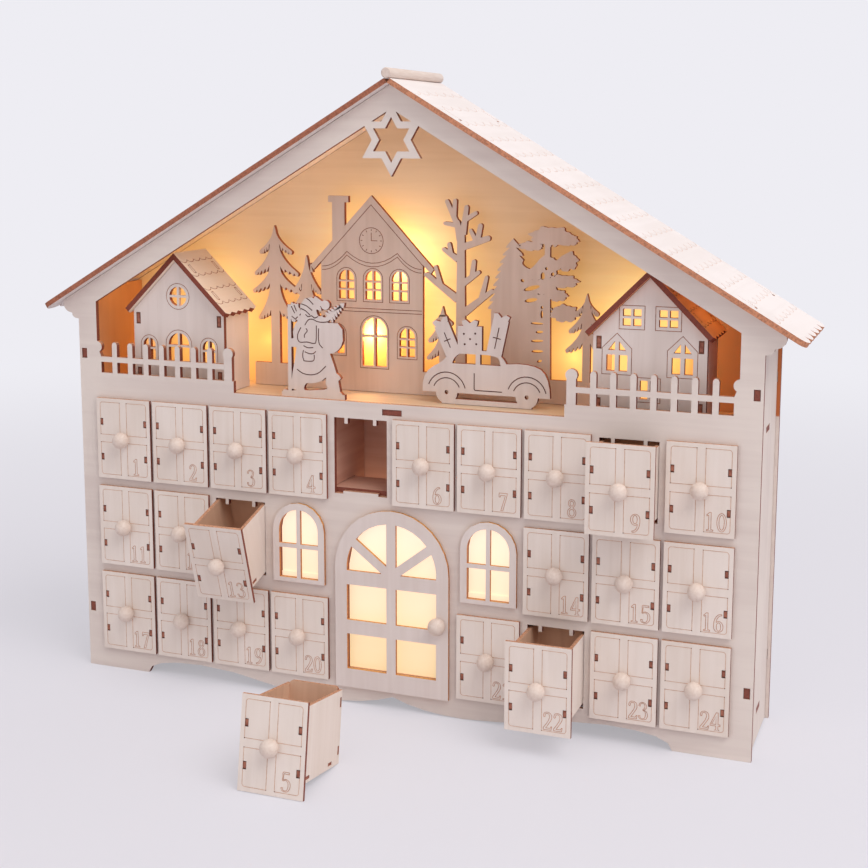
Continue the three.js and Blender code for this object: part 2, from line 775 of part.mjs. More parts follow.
// Cottage roof: two boards that meet at the ridge, scalloped at the eaves
function cottageRoof(centre) {
  const y0 = cottageFrontY - 4;
  const y1 = cottageBackY + 3.5;
  const waves = 5;
  const waveDepth = 1.6;
  const end = cottageRoofHalf * Math.SQRT2 - waveDepth;
  const pitch = (y1 - y0) / waves;
  const boards = [-1, 1].map((side) => {
    const shape = new THREE.Shape();
    shape.moveTo(0, y0);
    shape.lineTo(end, y0);
    for (let i = 0; i < waves; i += 1) {
      const y = y0 + i * pitch;
      shape.quadraticCurveTo(end + waveDepth * 2, y + pitch / 2, end, y + pitch);
    }
    shape.lineTo(0, y1);
    shape.closePath();
    const down = new THREE.Vector3(side * Math.SQRT1_2, 0, -Math.SQRT1_2);
    const up = new THREE.Vector3(side * Math.SQRT1_2, 0, Math.SQRT1_2);
    const turn = new THREE.Matrix4().makeBasis(down, new THREE.Vector3(0, side, 0), up);
    const board = plate(shape, ply, 2).applyMatrix4(turn);
    if (side < 0) board.translate(0, y0 + y1, 0);
    return board.translate(-side * ply * Math.SQRT1_2, 0, cottageHeight - ply * Math.SQRT1_2);
  });
  const ridgeCut = block(-1, 1, y0 - 1, y1 + 1, cottageHeight, cottageHeight + ply);
  return fuse(boards, [ridgeCut]).translate(centre, 0, floorTopZ);
}

function disc(x, z, radius, segments = 16) {
  const points = [];
  for (let i = 0; i < segments; i += 1) {
    const angle = (i * 2 * Math.PI) / segments;
    points.push([x + radius * Math.cos(angle), z + radius * Math.sin(angle)]);
  }
  return outline(points);
}

// Left cottage: a round window over three arched ones
function leftCottageCuts() {
  const roundRadius = 6;
  const cuts = [disc(0, 59, roundRadius)];
  const sill = 17;
  cuts.push(...archPanes(0, sill, 37.5, 17, 1.2, 1.4, [0.55]));
  for (const side of [-1, 1]) cuts.push(...archPanes(side * 21, sill, 33.5, 10.6, 1, 1.2, [0.55]));
  return cuts;
}

// Right cottage: two square windows, two pointed windows and a door pane
function rightCottageCuts() {
  const cuts = [];
  const bar = 1.3;
  for (const side of [-1, 1]) {
    cuts.push(...panedBox(side * 10.1, 52.9, 65.2, 13.4, 2, 2, 1.5, bar));
    cuts.push(...pointedPanes(side * 18.2, 27.6, 49.3, 15.7, bar));
  }
  cuts.push(...panedBox(0, 13, 25.4, 12, 2, 1, 1, bar));
  return cuts;
}

// Panes of a square-headed window in columns and rows
function panedBox(x, bottom, top, width, across2, rows, border, bar) {
  const panes = [];
  const wide = (width - 2 * border - (across2 - 1) * bar) / across2;
  const high = (top - bottom - 2 * border - (rows - 1) * bar) / rows;
  for (let i = 0; i < across2; i += 1) {
    for (let j = 0; j < rows; j += 1) {
      const x0 = x - width / 2 + border + i * (wide + bar);
      const z0 = bottom + border + j * (high + bar);
      panes.push(rectangle(x0, z0, x0 + wide, z0 + high));
    }
  }
  return panes;
}

// Window with a pointed head: two sloping panes over two square ones
function pointedPanes(x, bottom, top, width, bar) {
  const border = 1.6;
  const half = width / 2 - border;
  const springZ = top - width / 2;
  const tipZ = top - border * Math.SQRT2;
  const panes = [];
  for (const side of [-1, 1]) {
    const near = bar / 2;
    const rise = (tipZ - springZ) * (1 - near / half);
    const head = [[near, springZ + bar], [half - bar, springZ + bar], [near, springZ + rise]];
    panes.push(outline(head.map(([u, z]) => [x + side * u, z])));
    const square = [[near, bottom + border], [half, bottom + border], [half, springZ], [near, springZ]];
    panes.push(outline(square.map(([u, z]) => [x + side * u, z])));
  }
  return panes;
}

// Village silhouette: trees and a tall house cut from one sheet, drawn from the scene floor up
function village() {
  const drawings = [
    rectangle(-115.8, gap, 104, stripHeight), villageHouse(), spruce(),
    pine(-101, 101.5, 11, 18, 5.4, 4), pine(-78, 83.5, 34, 11, 3, 2),
    pine(20.5, 64.3, 11, 12, 2.6, 3), pine(101.2, 66.6, 11, 12, 2.6, 3),
    ...bareTree(), ...broadTree()];
  const sheets = drawings.map((drawing) => upright(drawing, ply, villageY, 2));
  return fuse(sheets).translate(0, 0, floorTopZ);
}

// Fir with drooping, upswept tiers over a straight trunk
function pine(x, apexZ, footZ, reach, trunk, tiers) {
  const shape = new THREE.Shape();
  const crown = (apexZ - footZ) * 0.76;
  const drop = crown / tiers;
  const half = trunk / 2;
  const side = [];
  for (let i = 0; i < tiers; i += 1) {
    const wide = half + (reach - half) * ((i + 1) / tiers) ** 0.75;
    const neck = half + (wide - half) * 0.32;
    side.push({ wide, neck, z: apexZ - drop * (i + 1) });
  }
  shape.moveTo(x, apexZ);
  for (const { wide, neck, z } of side) {
    shape.quadraticCurveTo(x + neck, z + drop * 0.35, x + wide, z + drop * 0.12);
    shape.quadraticCurveTo(x + (wide + neck) / 2, z - drop * 0.16, x + neck, z);
  }
  shape.lineTo(x + half, apexZ - crown);
  shape.lineTo(x + half, footZ);
  shape.lineTo(x - half, footZ);
  shape.lineTo(x - half, apexZ - crown);
  for (const [i, { wide, neck, z }] of [...side].reverse().entries()) {
    shape.lineTo(x - neck, z);
    shape.quadraticCurveTo(x - (wide + neck) / 2, z - drop * 0.16, x - wide, z + drop * 0.12);
    const last = i === tiers - 1;
    shape.quadraticCurveTo(x - neck, z + drop * 0.35, last ? x : x - side[tiers - 2 - i].neck, z + drop);
  }
  return shape;
}

// A tapering limb from one point to another
function limb(x0, z0, x1, z1, thick0, thick1) {
  const length = Math.hypot(x1 - x0, z1 - z0);
  const nx = -(z1 - z0) / length / 2;
  const nz = (x1 - x0) / length / 2;
  return outline([[x0 + nx * thick0, z0 + nz * thick0], [x0 - nx * thick0, z0 - nz * thick0],
    [x1 - nx * thick1, z1 - nz * thick1], [x1 + nx * thick1, z1 + nz * thick1]]);
}

// Leafless tree: a trunk, boughs along it, and a forked twig on most of them
function bareTree() {
  const drawings = [limb(27.5, 9, 26, 104, 8, 3.6)];
  const boughs = [[26, 102, 15.5, 119.5, 3.2], [26.2, 99, 29.5, 116.5, 3.2], [26.4, 87, 41, 98, 3],
    [26.6, 81, 13, 93, 2.6], [27, 62, 35.5, 77.5, 3], [27, 54, 2, 75, 3], [27.5, 41, 41, 68, 3],
    [27, 69, 37.5, 76, 2.2]];
  for (const [x0, z0, x1, z1, thick] of boughs) {
    drawings.push(limb(x0, z0, x1, z1, thick, 1.6));
    const mx = x0 + (x1 - x0) * 0.62;
    const mz = z0 + (z1 - z0) * 0.62;
    const turn = x1 > x0 ? 1 : -1;
    drawings.push(limb(mx, mz, mx + turn * 1.6, mz + 8, 1.8, 1.4));
  }
  drawings.push(limb(26, 103, 16, 108.5, 2.4, 1.6), limb(28.8, 109, 35.5, 112.5, 1.8, 1.5));
  return drawings;
}

// Dense spruce with a saw-toothed edge
function spruce() {
  const apex = [56, 97.3];
  const footZ = 11;
  const teeth = 11;
  const left = [];
  const right = [];
  for (let i = 1; i <= teeth; i += 1) {
    const share = i / teeth;
    const z = apex[1] - (apex[1] - footZ) * share;
    const wide = 15 * share ** 0.6;
    left.push([apex[0] - wide - 1.6, z], [apex[0] - wide + 1.2, z - 0.6]);
    right.push([apex[0] + wide + 1.6, z], [apex[0] + wide - 1.2, z - 0.6]);
  }
  return outline([apex, ...right, ...left.reverse()]);
}

// Leafy tree: lobes of foliage on a forked trunk, with gaps between the lobes
function broadTree() {
  const lobes = [[80, 98, 9.5, 6], [90, 98, 5, 4.5], [69.5, 93, 6, 4.5], [89, 81, 7, 8], [72, 80, 8, 6.5],
    [86, 69, 9, 5.5], [70, 66, 8, 6], [89, 55, 6, 4], [72, 53, 7, 5], [80, 86, 6, 8]];
  const waves = 7;
  const drawings = lobes.map(([x, z, rx, rz]) => {
    const points = [];
    const steps = waves * 2;
    for (let i = 0; i < steps; i += 1) {
      const angle = (i * 2 * Math.PI) / steps + x;
      const swell = 1 + (i % 2 ? 0.09 : -0.09);
      points.push([x + rx * swell * Math.cos(angle), z + rz * swell * Math.sin(angle)]);
    }
    return outline(points);
  });
  drawings.push(limb(79, 9, 79, 91, 6, 3.2), limb(79, 41, 88, 55, 3, 2), limb(79, 43, 71, 59, 3, 2));
  return drawings;
}

// Tall house with a chimney: roof overhanging the walls, arched windows, a clock engraved later
function villageHouse() {
  const middle = -35.1;
  const wallHalf = 33.9;
  const apexZ = 121.1;
  const eaveHalf = 41;
  const eaveZ = 77.5;
  const eaveDrop = 2.8;
  const wallTopZ = 80;
  const shape = new THREE.Shape();
  const right = [[wallHalf, stripHeight - 2], [wallHalf, wallTopZ], [eaveHalf - 2, eaveZ - eaveDrop],
    [eaveHalf, eaveZ]];
  const roofAt = (u) => apexZ - ((apexZ - eaveZ) * u) / eaveHalf;
  right.forEach(([u, z], i) => (i ? shape.lineTo(middle + u, z) : shape.moveTo(middle + u, z)));
  shape.lineTo(middle, apexZ);
  const shaftWidth = 8.4;
  const shaftStart = 17.7;
  const capOver = 2.6;
  const capTopZ = 120.6;
  const capLowZ = 116.7;
  shape.lineTo(middle - shaftStart, roofAt(shaftStart));
  shape.lineTo(middle - shaftStart, capLowZ);
  shape.lineTo(middle - shaftStart + capOver, capLowZ);
  shape.lineTo(middle - shaftStart + capOver, capTopZ);
  shape.lineTo(middle - shaftStart - shaftWidth - capOver, capTopZ);
  shape.lineTo(middle - shaftStart - shaftWidth - capOver, capLowZ);
  shape.lineTo(middle - shaftStart - shaftWidth, capLowZ);
  shape.lineTo(middle - shaftStart - shaftWidth, roofAt(shaftStart + shaftWidth));
  for (const [u, z] of [...right].reverse()) shape.lineTo(middle - u, z);
  shape.closePath();
  for (const offset of [-16.7, 1.1, 18.6]) {
    shape.holes.push(...archPanes(middle + offset, 56.1, 76.8, 13, 1.4, 1.1, [0.33, 0.62]));
  }
  for (const side of [-1, 1]) {
    shape.holes.push(...archPanes(middle + side * 23.6, 21.8, 42.1, 13, 1.4, 1.1, [0.33, 0.62]));
  }
  shape.holes.push(...archPanes(middle + 1.9, 14.9, 47.7, 19, 1.4, 1.4, [0.62]));
  return shape;
}

// Rounded old-time car in profile with parcels on its roof, drawn from the scene floor up
function car() {
  const rearWheel = 22.1;
  const frontWheel = 71.7;
  const wheel = 6.8;
  const sill = 7;
  const body = new THREE.Shape();
  body.moveTo(7, sill);
  body.quadraticCurveTo(6, 18, 14, 22.5);
  body.quadraticCurveTo(20, 25, 22.5, 29);
  body.quadraticCurveTo(27, 33.2, 36, 33);
  body.lineTo(50, 32.8);
  body.quadraticCurveTo(56, 32, 59.2, 25.8);
  body.quadraticCurveTo(73, 27.6, 80, 23.8);
  body.quadraticCurveTo(85.6, 20, 85.8, sill);
  body.closePath();
  body.holes.push(rearWindow(), frontWindow());
  const load = [[22.5, 38.5, 9.5, 19, 24], [36.5, 39.6, 15, 15, 0], [53.4, 40.8, 9.5, 22, -12]];
  const bows = [[18.6, 48, 24], [36.5, 47.8, 0], [55.7, 52, -12]];
  const drawings = [body, rectangle(rearWheel - 3, gap, frontWheel + 3, 3 + gap)];
  for (const x of [rearWheel, frontWheel]) drawings.push(disc(x, gap + wheel, wheel, 20));
  for (const place of load) drawings.push(parcel(...place));
  for (const place of bows) drawings.push(bow(...place));
  const hubs = [rearWheel, frontWheel].map((x) => disc(x, gap + wheel, 1.3, 8));
  const cuts = hubs.map((hub) => upright(hub, 3 * ply, carY - ply));
  return fuse(drawings.map((drawing) => upright(drawing, ply, carY, 4)), cuts).translate(0, 0, floorTopZ);
}

function rearWindow() {
  const shape = new THREE.Shape();
  shape.moveTo(25.6, 24.6);
  shape.lineTo(40.2, 24.6);
  shape.lineTo(40.2, 30.6);
  shape.lineTo(30.5, 30.6);
  shape.quadraticCurveTo(26.4, 28.6, 25.6, 24.6);
  return shape;
}

function frontWindow() {
  const shape = new THREE.Shape();
  shape.moveTo(43, 24.6);
  shape.lineTo(55.6, 24.6);
  shape.quadraticCurveTo(55.2, 29.6, 52.2, 30.6);
  shape.lineTo(43, 30.6);
  shape.closePath();
  return shape;
}

function turned(points, x, z, degrees) {
  const angle = THREE.MathUtils.degToRad(degrees);
  const c = Math.cos(angle);
  const s = Math.sin(angle);
  return points.map(([u, v]) => [x + c * u - s * v, z + s * u + c * v]);
}

function parcel(x, z, width, height, degrees) {
  const w = width / 2;
  const h = height / 2;
  return outline(turned([[-w, -h], [w, -h], [w, h], [-w, h]], x, z, degrees));
}

function bow(x, z, degrees) {
  return outline(turned([[-1, -2], [1, -2], [4.4, -0.4], [5, 2.4], [2.6, 3], [0, 1], [-2.6, 3], [-5, 2.4],
    [-4.4, -0.4]], x, z, degrees));
}

// Gift-bringer in a long coat and pointed hood, staff in hand, sack and small fir on the back
function giftBringer() {
  const coat = new THREE.Shape();
  coat.moveTo(-74, 5.3);
  coat.bezierCurveTo(-73, 16, -70, 25, -69.5, 32);
  coat.quadraticCurveTo(-74, 38, -70.5, 44.5);
  coat.quadraticCurveTo(-68, 48, -66.5, 51);
  coat.bezierCurveTo(-69.5, 57, -64, 62.4, -59, 61.6);
  coat.quadraticCurveTo(-53, 59.5, -52, 50);
  coat.bezierCurveTo(-42, 51, -37, 43, -39, 36);
  coat.quadraticCurveTo(-41, 29.5, -48.5, 30.5);
  coat.bezierCurveTo(-45, 21, -42, 15, -41, 5.3);
  coat.quadraticCurveTo(-57, 1.8, -74, 5.3);
  const staff = limb(-74.4, gap, -74.2, 56.6, 2.4, 2.2);
  const base = rectangle(-80, gap, -38, 3.4);
  const legs = [limb(-66, gap, -65, 15, 9, 8), limb(-49.5, gap, -50.5, 15, 9, 8)];
  const arm = limb(-74, 33.5, -66, 33.5, 5, 6);
  const carriedFir = [pine(-43.5, 59.5, 43, 8.2, 3, 3), limb(-52, 41, -43.5, 48, 4, 4)];
  const drawings = [coat, staff, base, ...legs, arm, ...carriedFir];
  return fuse(drawings.map((drawing) => upright(drawing, ply, figureY, 3))).translate(0, 0, floorTopZ);
}

// Battery box let in to the back panel: tray, flange, lid seat and switch pocket
function batteryBox() {
  const { outer, flange, tray, seat, pocket, slot } = boxLayout();
  const cuts = [tray, seat, pocket, slot].map((space) => block(...space));
  return fuse([block(...outer), block(...flange)], cuts);
}

function boxLayout() {
  const w = boxWidth / 2;
  const h = boxHeight / 2;
  const back = houseDepth + gap;
  const innerY = back - boxDepth;
  const flangeOut = back + boxWall;
  const [low, high] = [boxCentreZ - h, boxCentreZ + h];
  const divide = w - 18;
  const rim = 1.2;
  const slotReach = (switchStem + switchTravel) / 2 + gap;
  const switchX = w - 9;
  return {
    back, flangeOut, innerY, switchX,
    outer: [-w, w, innerY, back + 0.5, low, high],
    flange: [-w - flangeWidth, w + flangeWidth, back, flangeOut, low - flangeWidth, high + flangeWidth],
    tray: [boxWall - w, divide - boxWall, innerY + boxWall, flangeOut + 1, low + boxWall, high - boxWall],
    seat: [boxWall - w - rim, divide - boxWall + rim, back, flangeOut + 1,
      low + boxWall - rim, high - boxWall + rim],
    pocket: [divide, w - boxWall, innerY + boxWall, back, low + 8, high - 8],
    slot: [switchX - slotReach, switchX + slotReach, back - 1, flangeOut + 1,
      boxCentreZ - switchHeight / 2 - gap, boxCentreZ + switchHeight / 2 + gap],
  };
}
function batteryLid() {
  const { seat, back, flangeOut } = boxLayout();
  const [x0, x1, , , z0, z1] = seat;
  const lid = block(x0 + gap, x1 - gap, back + gap, flangeOut, z0 + gap, z1 - gap);
  const ribs = [0, 1, 2].map((i) => block(x0 + 3 + i * 2, x0 + 4 + i * 2, flangeOut - 0.2, flangeOut + 0.6,
    boxCentreZ - 6, boxCentreZ + 6));
  return fuse([lid, ...ribs]);
}

// Switch slider: a stem through the slot between a foot inside and a thumb piece outside
function switchSlider() {
  const { back, flangeOut, switchX } = boxLayout();
  const stem = switchStem / 2;
  const footReach = 1.4;
  const thumbReach = 0.6;
  const high = switchHeight / 2;
  const innerY = back - gap - 1.2;
  const outerY = flangeOut + gap;
  const parts = [
    block(-stem, stem, innerY, outerY + 1, -high, high),
    block(-stem - footReach, stem + footReach, innerY, back - gap, -high - footReach, high + footReach),
    block(-stem - thumbReach, stem + thumbReach, outerY, outerY + 1.4, -high - 1, high + 1)];
  return fuse(parts).translate(switchX - switchTravel / 2, 0, boxCentreZ);
}

// Assembly
piece('front_panel', frontPanel());
piece('back_panel', backPanel());
piece('side_panel_left', sidePanel(-1));
piece('side_panel_right', sidePanel(1));
piece('roof_panel_left', roofPanel(-1));
piece('roof_panel_right', roofPanel(1));
piece('ridge_dowel', ridgeDowel());
piece('scene_floor', lyingBoard(floorTopZ, ply + gap, backPanelY - gap, true));
piece('base_board', lyingBoard(baseTopZ(), ply + gap, backPanelY - gap, false));
piece('inner_board', innerBoard());

for (let boundary = 1 - columns / 2; boundary < columns / 2; boundary += 1) {
  piece(`divider_${boundary + columns / 2}`, divider(boundary));
}
piece('shelf_upper', shelf(bayBottom(0) + ply, gap - sideInner, sideInner - gap));
piece('shelf_lower_left', shelf(bayBottom(1) + ply, gap - sideInner, -columnPitch - ply));
piece('shelf_lower_right', shelf(bayBottom(1) + ply, columnPitch + ply, sideInner - gap));

const drawerShape = drawer();
for (const { number, column, row } of places) {
  placeDrawer(number, columnX(column), bayBottom(row) - frontBelowBay);
}

// Puts a drawer in its bay, drawn out, tipped on the shelf edge, or standing loose before the house
function placeDrawer(number, x, z) {
  const name = `drawer_${String(number).padStart(2, '0')}`;
  const mesh = piece(name, drawerShape);
  if (number === looseDrawer) {
    mesh.position.set(loosePlace.x, loosePlace.y, 0);
    mesh.rotation.x = -Math.atan(boxBottomAbove / drawerDepth);
    return;
  }
  if (number === tippedDrawer) {
    const pivot = new THREE.Vector3(x, ply + gap, z + boxBottomAbove - gap);
    const arm = new THREE.Vector3(0, -gap - tippedOut - pivot.y, gap - boxBottomAbove);
    mesh.position.copy(arm.applyAxisAngle(new THREE.Vector3(1, 0, 0), tipAngle).add(pivot));
    mesh.rotation.x = tipAngle;
    return;
  }
  mesh.position.set(x, -gap - (openBy[number] ?? 0), z);
}

piece('entrance_door', entranceDoor());
piece('window_left', windowFrame(-windowCentre));
piece('window_right', windowFrame(windowCentre));
piece('light_diffuser', lightDiffuser(), opal);
piece('village', village());
piece('gift_bringer', giftBringer());
piece('car', car());
piece('cottage_left_walls', cottageWalls(-cottageCentre, leftCottageCuts()));
piece('cottage_left_roof', cottageRoof(-cottageCentre));
piece('cottage_right_walls', cottageWalls(cottageCentre, rightCottageCuts()));
piece('cottage_right_roof', cottageRoof(cottageCentre));
piece('battery_box', batteryBox(), plastic);
piece('battery_lid', batteryLid(), plastic);
piece('switch_slider', switchSlider(), plastic);

// The origin lies under the middle of the whole part, on the surface it stands on
const bounds = new THREE.Box3().setFromObject(house, true);
house.position.y = -(bounds.min.y + bounds.max.y) / 2;
house.position.z = -bounds.min.z;

export default house;
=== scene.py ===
# %% [markdown]
# # A lit wooden advent calendar house
# A house of laser-cut birch plywood holds 24 small drawers, and a warm light glows behind a village in its gable.
# The CAD frame gives every board its true size. Here each board gets its veneer, its scorched edges and its
# engraved lines, and the light comes on.

# %% The frame
import bpy
import math
import numpy as np
from mathutils import Matrix, Vector


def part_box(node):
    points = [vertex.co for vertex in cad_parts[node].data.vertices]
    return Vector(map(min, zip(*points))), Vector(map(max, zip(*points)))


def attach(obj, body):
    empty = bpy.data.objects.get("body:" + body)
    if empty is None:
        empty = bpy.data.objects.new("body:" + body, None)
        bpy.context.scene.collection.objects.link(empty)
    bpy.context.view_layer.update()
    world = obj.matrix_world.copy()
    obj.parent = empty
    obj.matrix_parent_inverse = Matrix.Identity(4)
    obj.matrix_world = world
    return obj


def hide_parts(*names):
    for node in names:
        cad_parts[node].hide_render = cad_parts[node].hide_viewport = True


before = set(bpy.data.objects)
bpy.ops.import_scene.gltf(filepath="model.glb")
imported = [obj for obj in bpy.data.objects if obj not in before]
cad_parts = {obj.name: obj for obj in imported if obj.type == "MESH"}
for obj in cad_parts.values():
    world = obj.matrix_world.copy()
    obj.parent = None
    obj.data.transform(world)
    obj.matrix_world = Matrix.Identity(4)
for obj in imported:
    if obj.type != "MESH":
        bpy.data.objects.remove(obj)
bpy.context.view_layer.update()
mm = 0.001
front_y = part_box("front_panel")[0].y
print("front of the house at y =", round(front_y, 4))

# %% [markdown]
# ## Camera
# The photograph was taken from the right and a little above, through a longish lens. The place of the camera was
# worked out once from the corners of the drawers, so it is written as a real place in millimetres, measured from
# the middle of the house front.

# %% Camera
camera_place = Vector((315.3, -755.3, 336.7)) * mm + Vector((0, front_y, 0))
camera_azimuth = math.radians(20.51)
camera_down = math.radians(8.55)
camera_roll = math.radians(0.15)
focal_share = 1439.6 / 868
shift_share = (-0.0128, -0.0915)

camera = bpy.data.objects.new("camera", bpy.data.cameras.new("camera"))
bpy.context.scene.collection.objects.link(camera)
camera.location = camera_place
look = Vector((-math.sin(camera_azimuth) * math.cos(camera_down),
               math.cos(camera_azimuth) * math.cos(camera_down), -math.sin(camera_down)))
camera.rotation_mode = "QUATERNION"
camera.rotation_quaternion = look.to_track_quat("-Z", "Y") @ Matrix.Rotation(camera_roll, 3, "Z").to_quaternion()
camera.data.sensor_width = 36
camera.data.lens = 36 * focal_share
camera.data.shift_x, camera.data.shift_y = shift_share
camera.data.clip_start, camera.data.clip_end = 0.01, 20
bpy.context.scene.camera = camera
bpy.context.scene.view_settings.view_transform = "Standard"
print("camera stands", round(camera_place.length, 3), "m from the middle of the house")

# %% [markdown]
# ## Floor and light
# The house stands on pale paper under soft studio light: one broad lamp high on the right and an even sky. A paper
# sweep has no edge, so the floor fades into the colour of the sky with distance, for the camera only, and the part
# near the house still takes its shadow.

# %% Node helper
def new_material(name):
    """An empty material with its output, and its shader tree."""
    material = bpy.data.materials.new(name)
    material.use_nodes = True
    tree = material.node_tree
    tree.nodes.clear()
    return material, tree


def node(tree, kind, **sockets):
    """Adds a node. A value fills the socket of that name, and an output socket is linked to it."""
    made = tree.nodes.new(kind)
    for name, value in sockets.items():
        slot = name.replace("_", " ")
        if hasattr(made, name) and slot not in made.inputs:
            setattr(made, name, value)
            continue
        if slot.isdigit():
            slot = int(slot)
        target = made.inputs[slot]
        if isinstance(value, bpy.types.NodeSocket):
            tree.links.new(value, target)
        else:
            target.default_value = value
    return made

# %% Arithmetic and mixing with nodes
def maths(tree, operation, first, second=0.0, third=None):
    """One step of arithmetic on numbers or outputs."""
    made = tree.nodes.new("ShaderNodeMath")
    made.operation = operation
    for slot, value in enumerate((first, second) if third is None else (first, second, third)):
        if isinstance(value, bpy.types.NodeSocket):
            tree.links.new(value, made.inputs[slot])
        else:
            made.inputs[slot].default_value = value
    return made.outputs[0]


def blend_colour(tree, share, first, second, mode="MIX"):
    """Mixes two colours by a share from 0 to 1."""
    made = tree.nodes.new("ShaderNodeMix")
    made.data_type = "RGBA"
    made.blend_type = mode
    for slot, value in ((0, share), (6, first), (7, second)):
        if isinstance(value, bpy.types.NodeSocket):
            tree.links.new(value, made.inputs[slot])
        else:
            made.inputs[slot].default_value = value
    return made.outputs[2]

# %% Spans and screen colours
def ramp(tree, value, low, high, to_low=0.0, to_high=1.0):
    """Maps a value from one span to another and holds it at the ends."""
    return node(tree, "ShaderNodeMapRange", Value=value, From_Min=low, From_Max=high,
                To_Min=to_low, To_Max=to_high).outputs[0]


def srgb(red, green, blue):
    """A colour as seen on screen, 0 to 255, as the linear colour that the shader takes."""
    channels = np.array([red, green, blue]) / 255
    linear = np.where(channels <= 0.04045, channels / 12.92, ((channels + 0.055) / 1.055) ** 2.4)
    return (*linear.tolist(), 1.0)

# %% Paper
paper_colour = srgb(222, 219, 226)
far_colour = srgb(231, 229, 235)
sky_colour = srgb(238, 237, 243)
fade_from, fade_to, least_fade = 0.15, 1.5, 0.48
paper, tree = new_material("paper_sweep")
where = node(tree, "ShaderNodeTexCoord").outputs["Object"]
away = node(tree, "ShaderNodeVectorMath", operation="LENGTH", **{"0": where}).outputs["Value"]
paths = tree.nodes.new("ShaderNodeLightPath")
distance_share = node(tree, "ShaderNodeMapRange", interpolation_type="SMOOTHSTEP", Value=away, From_Min=fade_from,
                      From_Max=fade_to).outputs[0]
fade = maths(tree, "MULTIPLY", ramp(tree, distance_share, 0, 1, least_fade, 1.0), paths.outputs["Is Camera Ray"])
shaded = node(tree, "ShaderNodeBsdfPrincipled", Base_Color=paper_colour, Roughness=0.85)
far_shade = blend_colour(tree, distance_share, far_colour, sky_colour)
far_paper = node(tree, "ShaderNodeEmission", Color=far_shade, Strength=1.0)
mixed = node(tree, "ShaderNodeMixShader", **{"0": fade, "1": shaded.outputs[0], "2": far_paper.outputs[0]})
node(tree, "ShaderNodeOutputMaterial", Surface=mixed.outputs[0])
print("paper turns into sky between", fade_from, "m and", fade_to, "m")

# %% Floor plane
reach = 6.0
corners = np.array([(-1, -1, 0), (1, -1, 0), (1, 1, 0), (-1, 1, 0)]) * reach
floor_mesh = bpy.data.meshes.new("floor")
floor_mesh.from_pydata(corners.tolist(), [], [(0, 1, 2, 3)])
floor = bpy.data.objects.new("floor", floor_mesh)
floor.location.z = -0.05 * mm
floor_mesh.materials.append(paper)
bpy.context.scene.collection.objects.link(floor)
print("floor", 2 * reach, "m wide")

# %% Sky and lamp
world = bpy.data.worlds.new("studio")
bpy.context.scene.world = world
world.use_nodes = True
tree = world.node_tree
tree.nodes.clear()
paths = tree.nodes.new("ShaderNodeLightPath")
seen = maths(tree, "MAXIMUM", paths.outputs["Is Camera Ray"],
             maths(tree, "MAXIMUM", paths.outputs["Is Glossy Ray"], paths.outputs["Is Transmission Ray"]))
sky_level = 0.60
sky_light = node(tree, "ShaderNodeBackground", Color=srgb(253, 250, 254), Strength=sky_level)
sky_seen = node(tree, "ShaderNodeBackground", Color=sky_colour, Strength=1.0)
both = node(tree, "ShaderNodeMixShader", **{"0": seen, "1": sky_light.outputs[0], "2": sky_seen.outputs[0]})
node(tree, "ShaderNodeOutputWorld", Surface=both.outputs[0])


def soft_lamp(name, place, aim, size, power, colour):
    """A square soft box at a place in metres, turned to its aim."""
    lamp = bpy.data.lights.new(name, "AREA")
    lamp.size, lamp.energy, lamp.color = size, power, colour
    holder = bpy.data.objects.new(name, lamp)
    holder.location = place
    holder.rotation_mode = "QUATERNION"
    holder.rotation_quaternion = (Vector(aim) - Vector(place)).to_track_quat("-Z", "Y")
    bpy.context.scene.collection.objects.link(holder)
    return holder


soft_lamp("key_lamp", (1.2, -0.6, 1.9), (0, 0, 0.2), 1.5, 29, (1.0, 0.985, 0.975))
soft_lamp("fill_lamp", (-0.5, -2.2, 0.9), (0, 0, 0.2), 1.6, 4, (1.0, 0.99, 0.985))
print("two studio lamps and a sky of strength", sky_level)

# %% [markdown]
# ## Plywood
# Birch plywood is pale and faintly pink, with a grain that hardly shows. The laser leaves each cut edge scorched
# red-brown, and where an edge looks up it is painted lighter, as painted light from above. Two finishes are enough,
# a veneer and an edge. On the CAD boards the surface's own direction chooses between them, so the boards can stay as
# they are. On boards that are made here each face is given its finish by number.

# %% Veneer
veneer_light = srgb(227, 214, 204)
veneer_deep = srgb(217, 202, 193)
fleck_colour = srgb(198, 170, 150)


def veneer(tree, where, grain, light=veneer_light, deep=veneer_deep):
    """Colour and height of bare veneer: noise drawn out along the grain, with fine pores and broad clouds."""
    stretch = {"X": (0.05, 1, 1), "Y": (1, 0.05, 1), "Z": (1, 1, 0.05)}[grain]
    drawn = node(tree, "ShaderNodeMapping", Vector=where, Scale=stretch).outputs[0]
    fine = node(tree, "ShaderNodeTexNoise", Vector=drawn, Scale=1300, Detail=3, Roughness=0.6).outputs[0]
    broad = node(tree, "ShaderNodeTexNoise", Vector=drawn, Scale=190, Detail=2, Distortion=0.5).outputs[0]
    cloud = node(tree, "ShaderNodeTexNoise", Vector=where, Scale=17, Detail=2).outputs[0]
    tone = maths(tree, "ADD", maths(tree, "MULTIPLY", broad, 0.4), maths(tree, "MULTIPLY", cloud, 0.6))
    colour = blend_colour(tree, ramp(tree, tone, 0.38, 0.6), deep, light)
    flecks = maths(tree, "MULTIPLY", ramp(tree, fine, 0.62, 0.80), 0.20)
    return blend_colour(tree, flecks, colour, fleck_colour), fine

# %% Scorched edge
# An edge that looks up gets a lighter colour, as painted light from above. Upright edges keep the scorch's red-brown.
scorch_lit_from_above = srgb(206, 152, 118)
scorch_side = srgb(134, 68, 50)
scorch_seam = srgb(96, 46, 34)


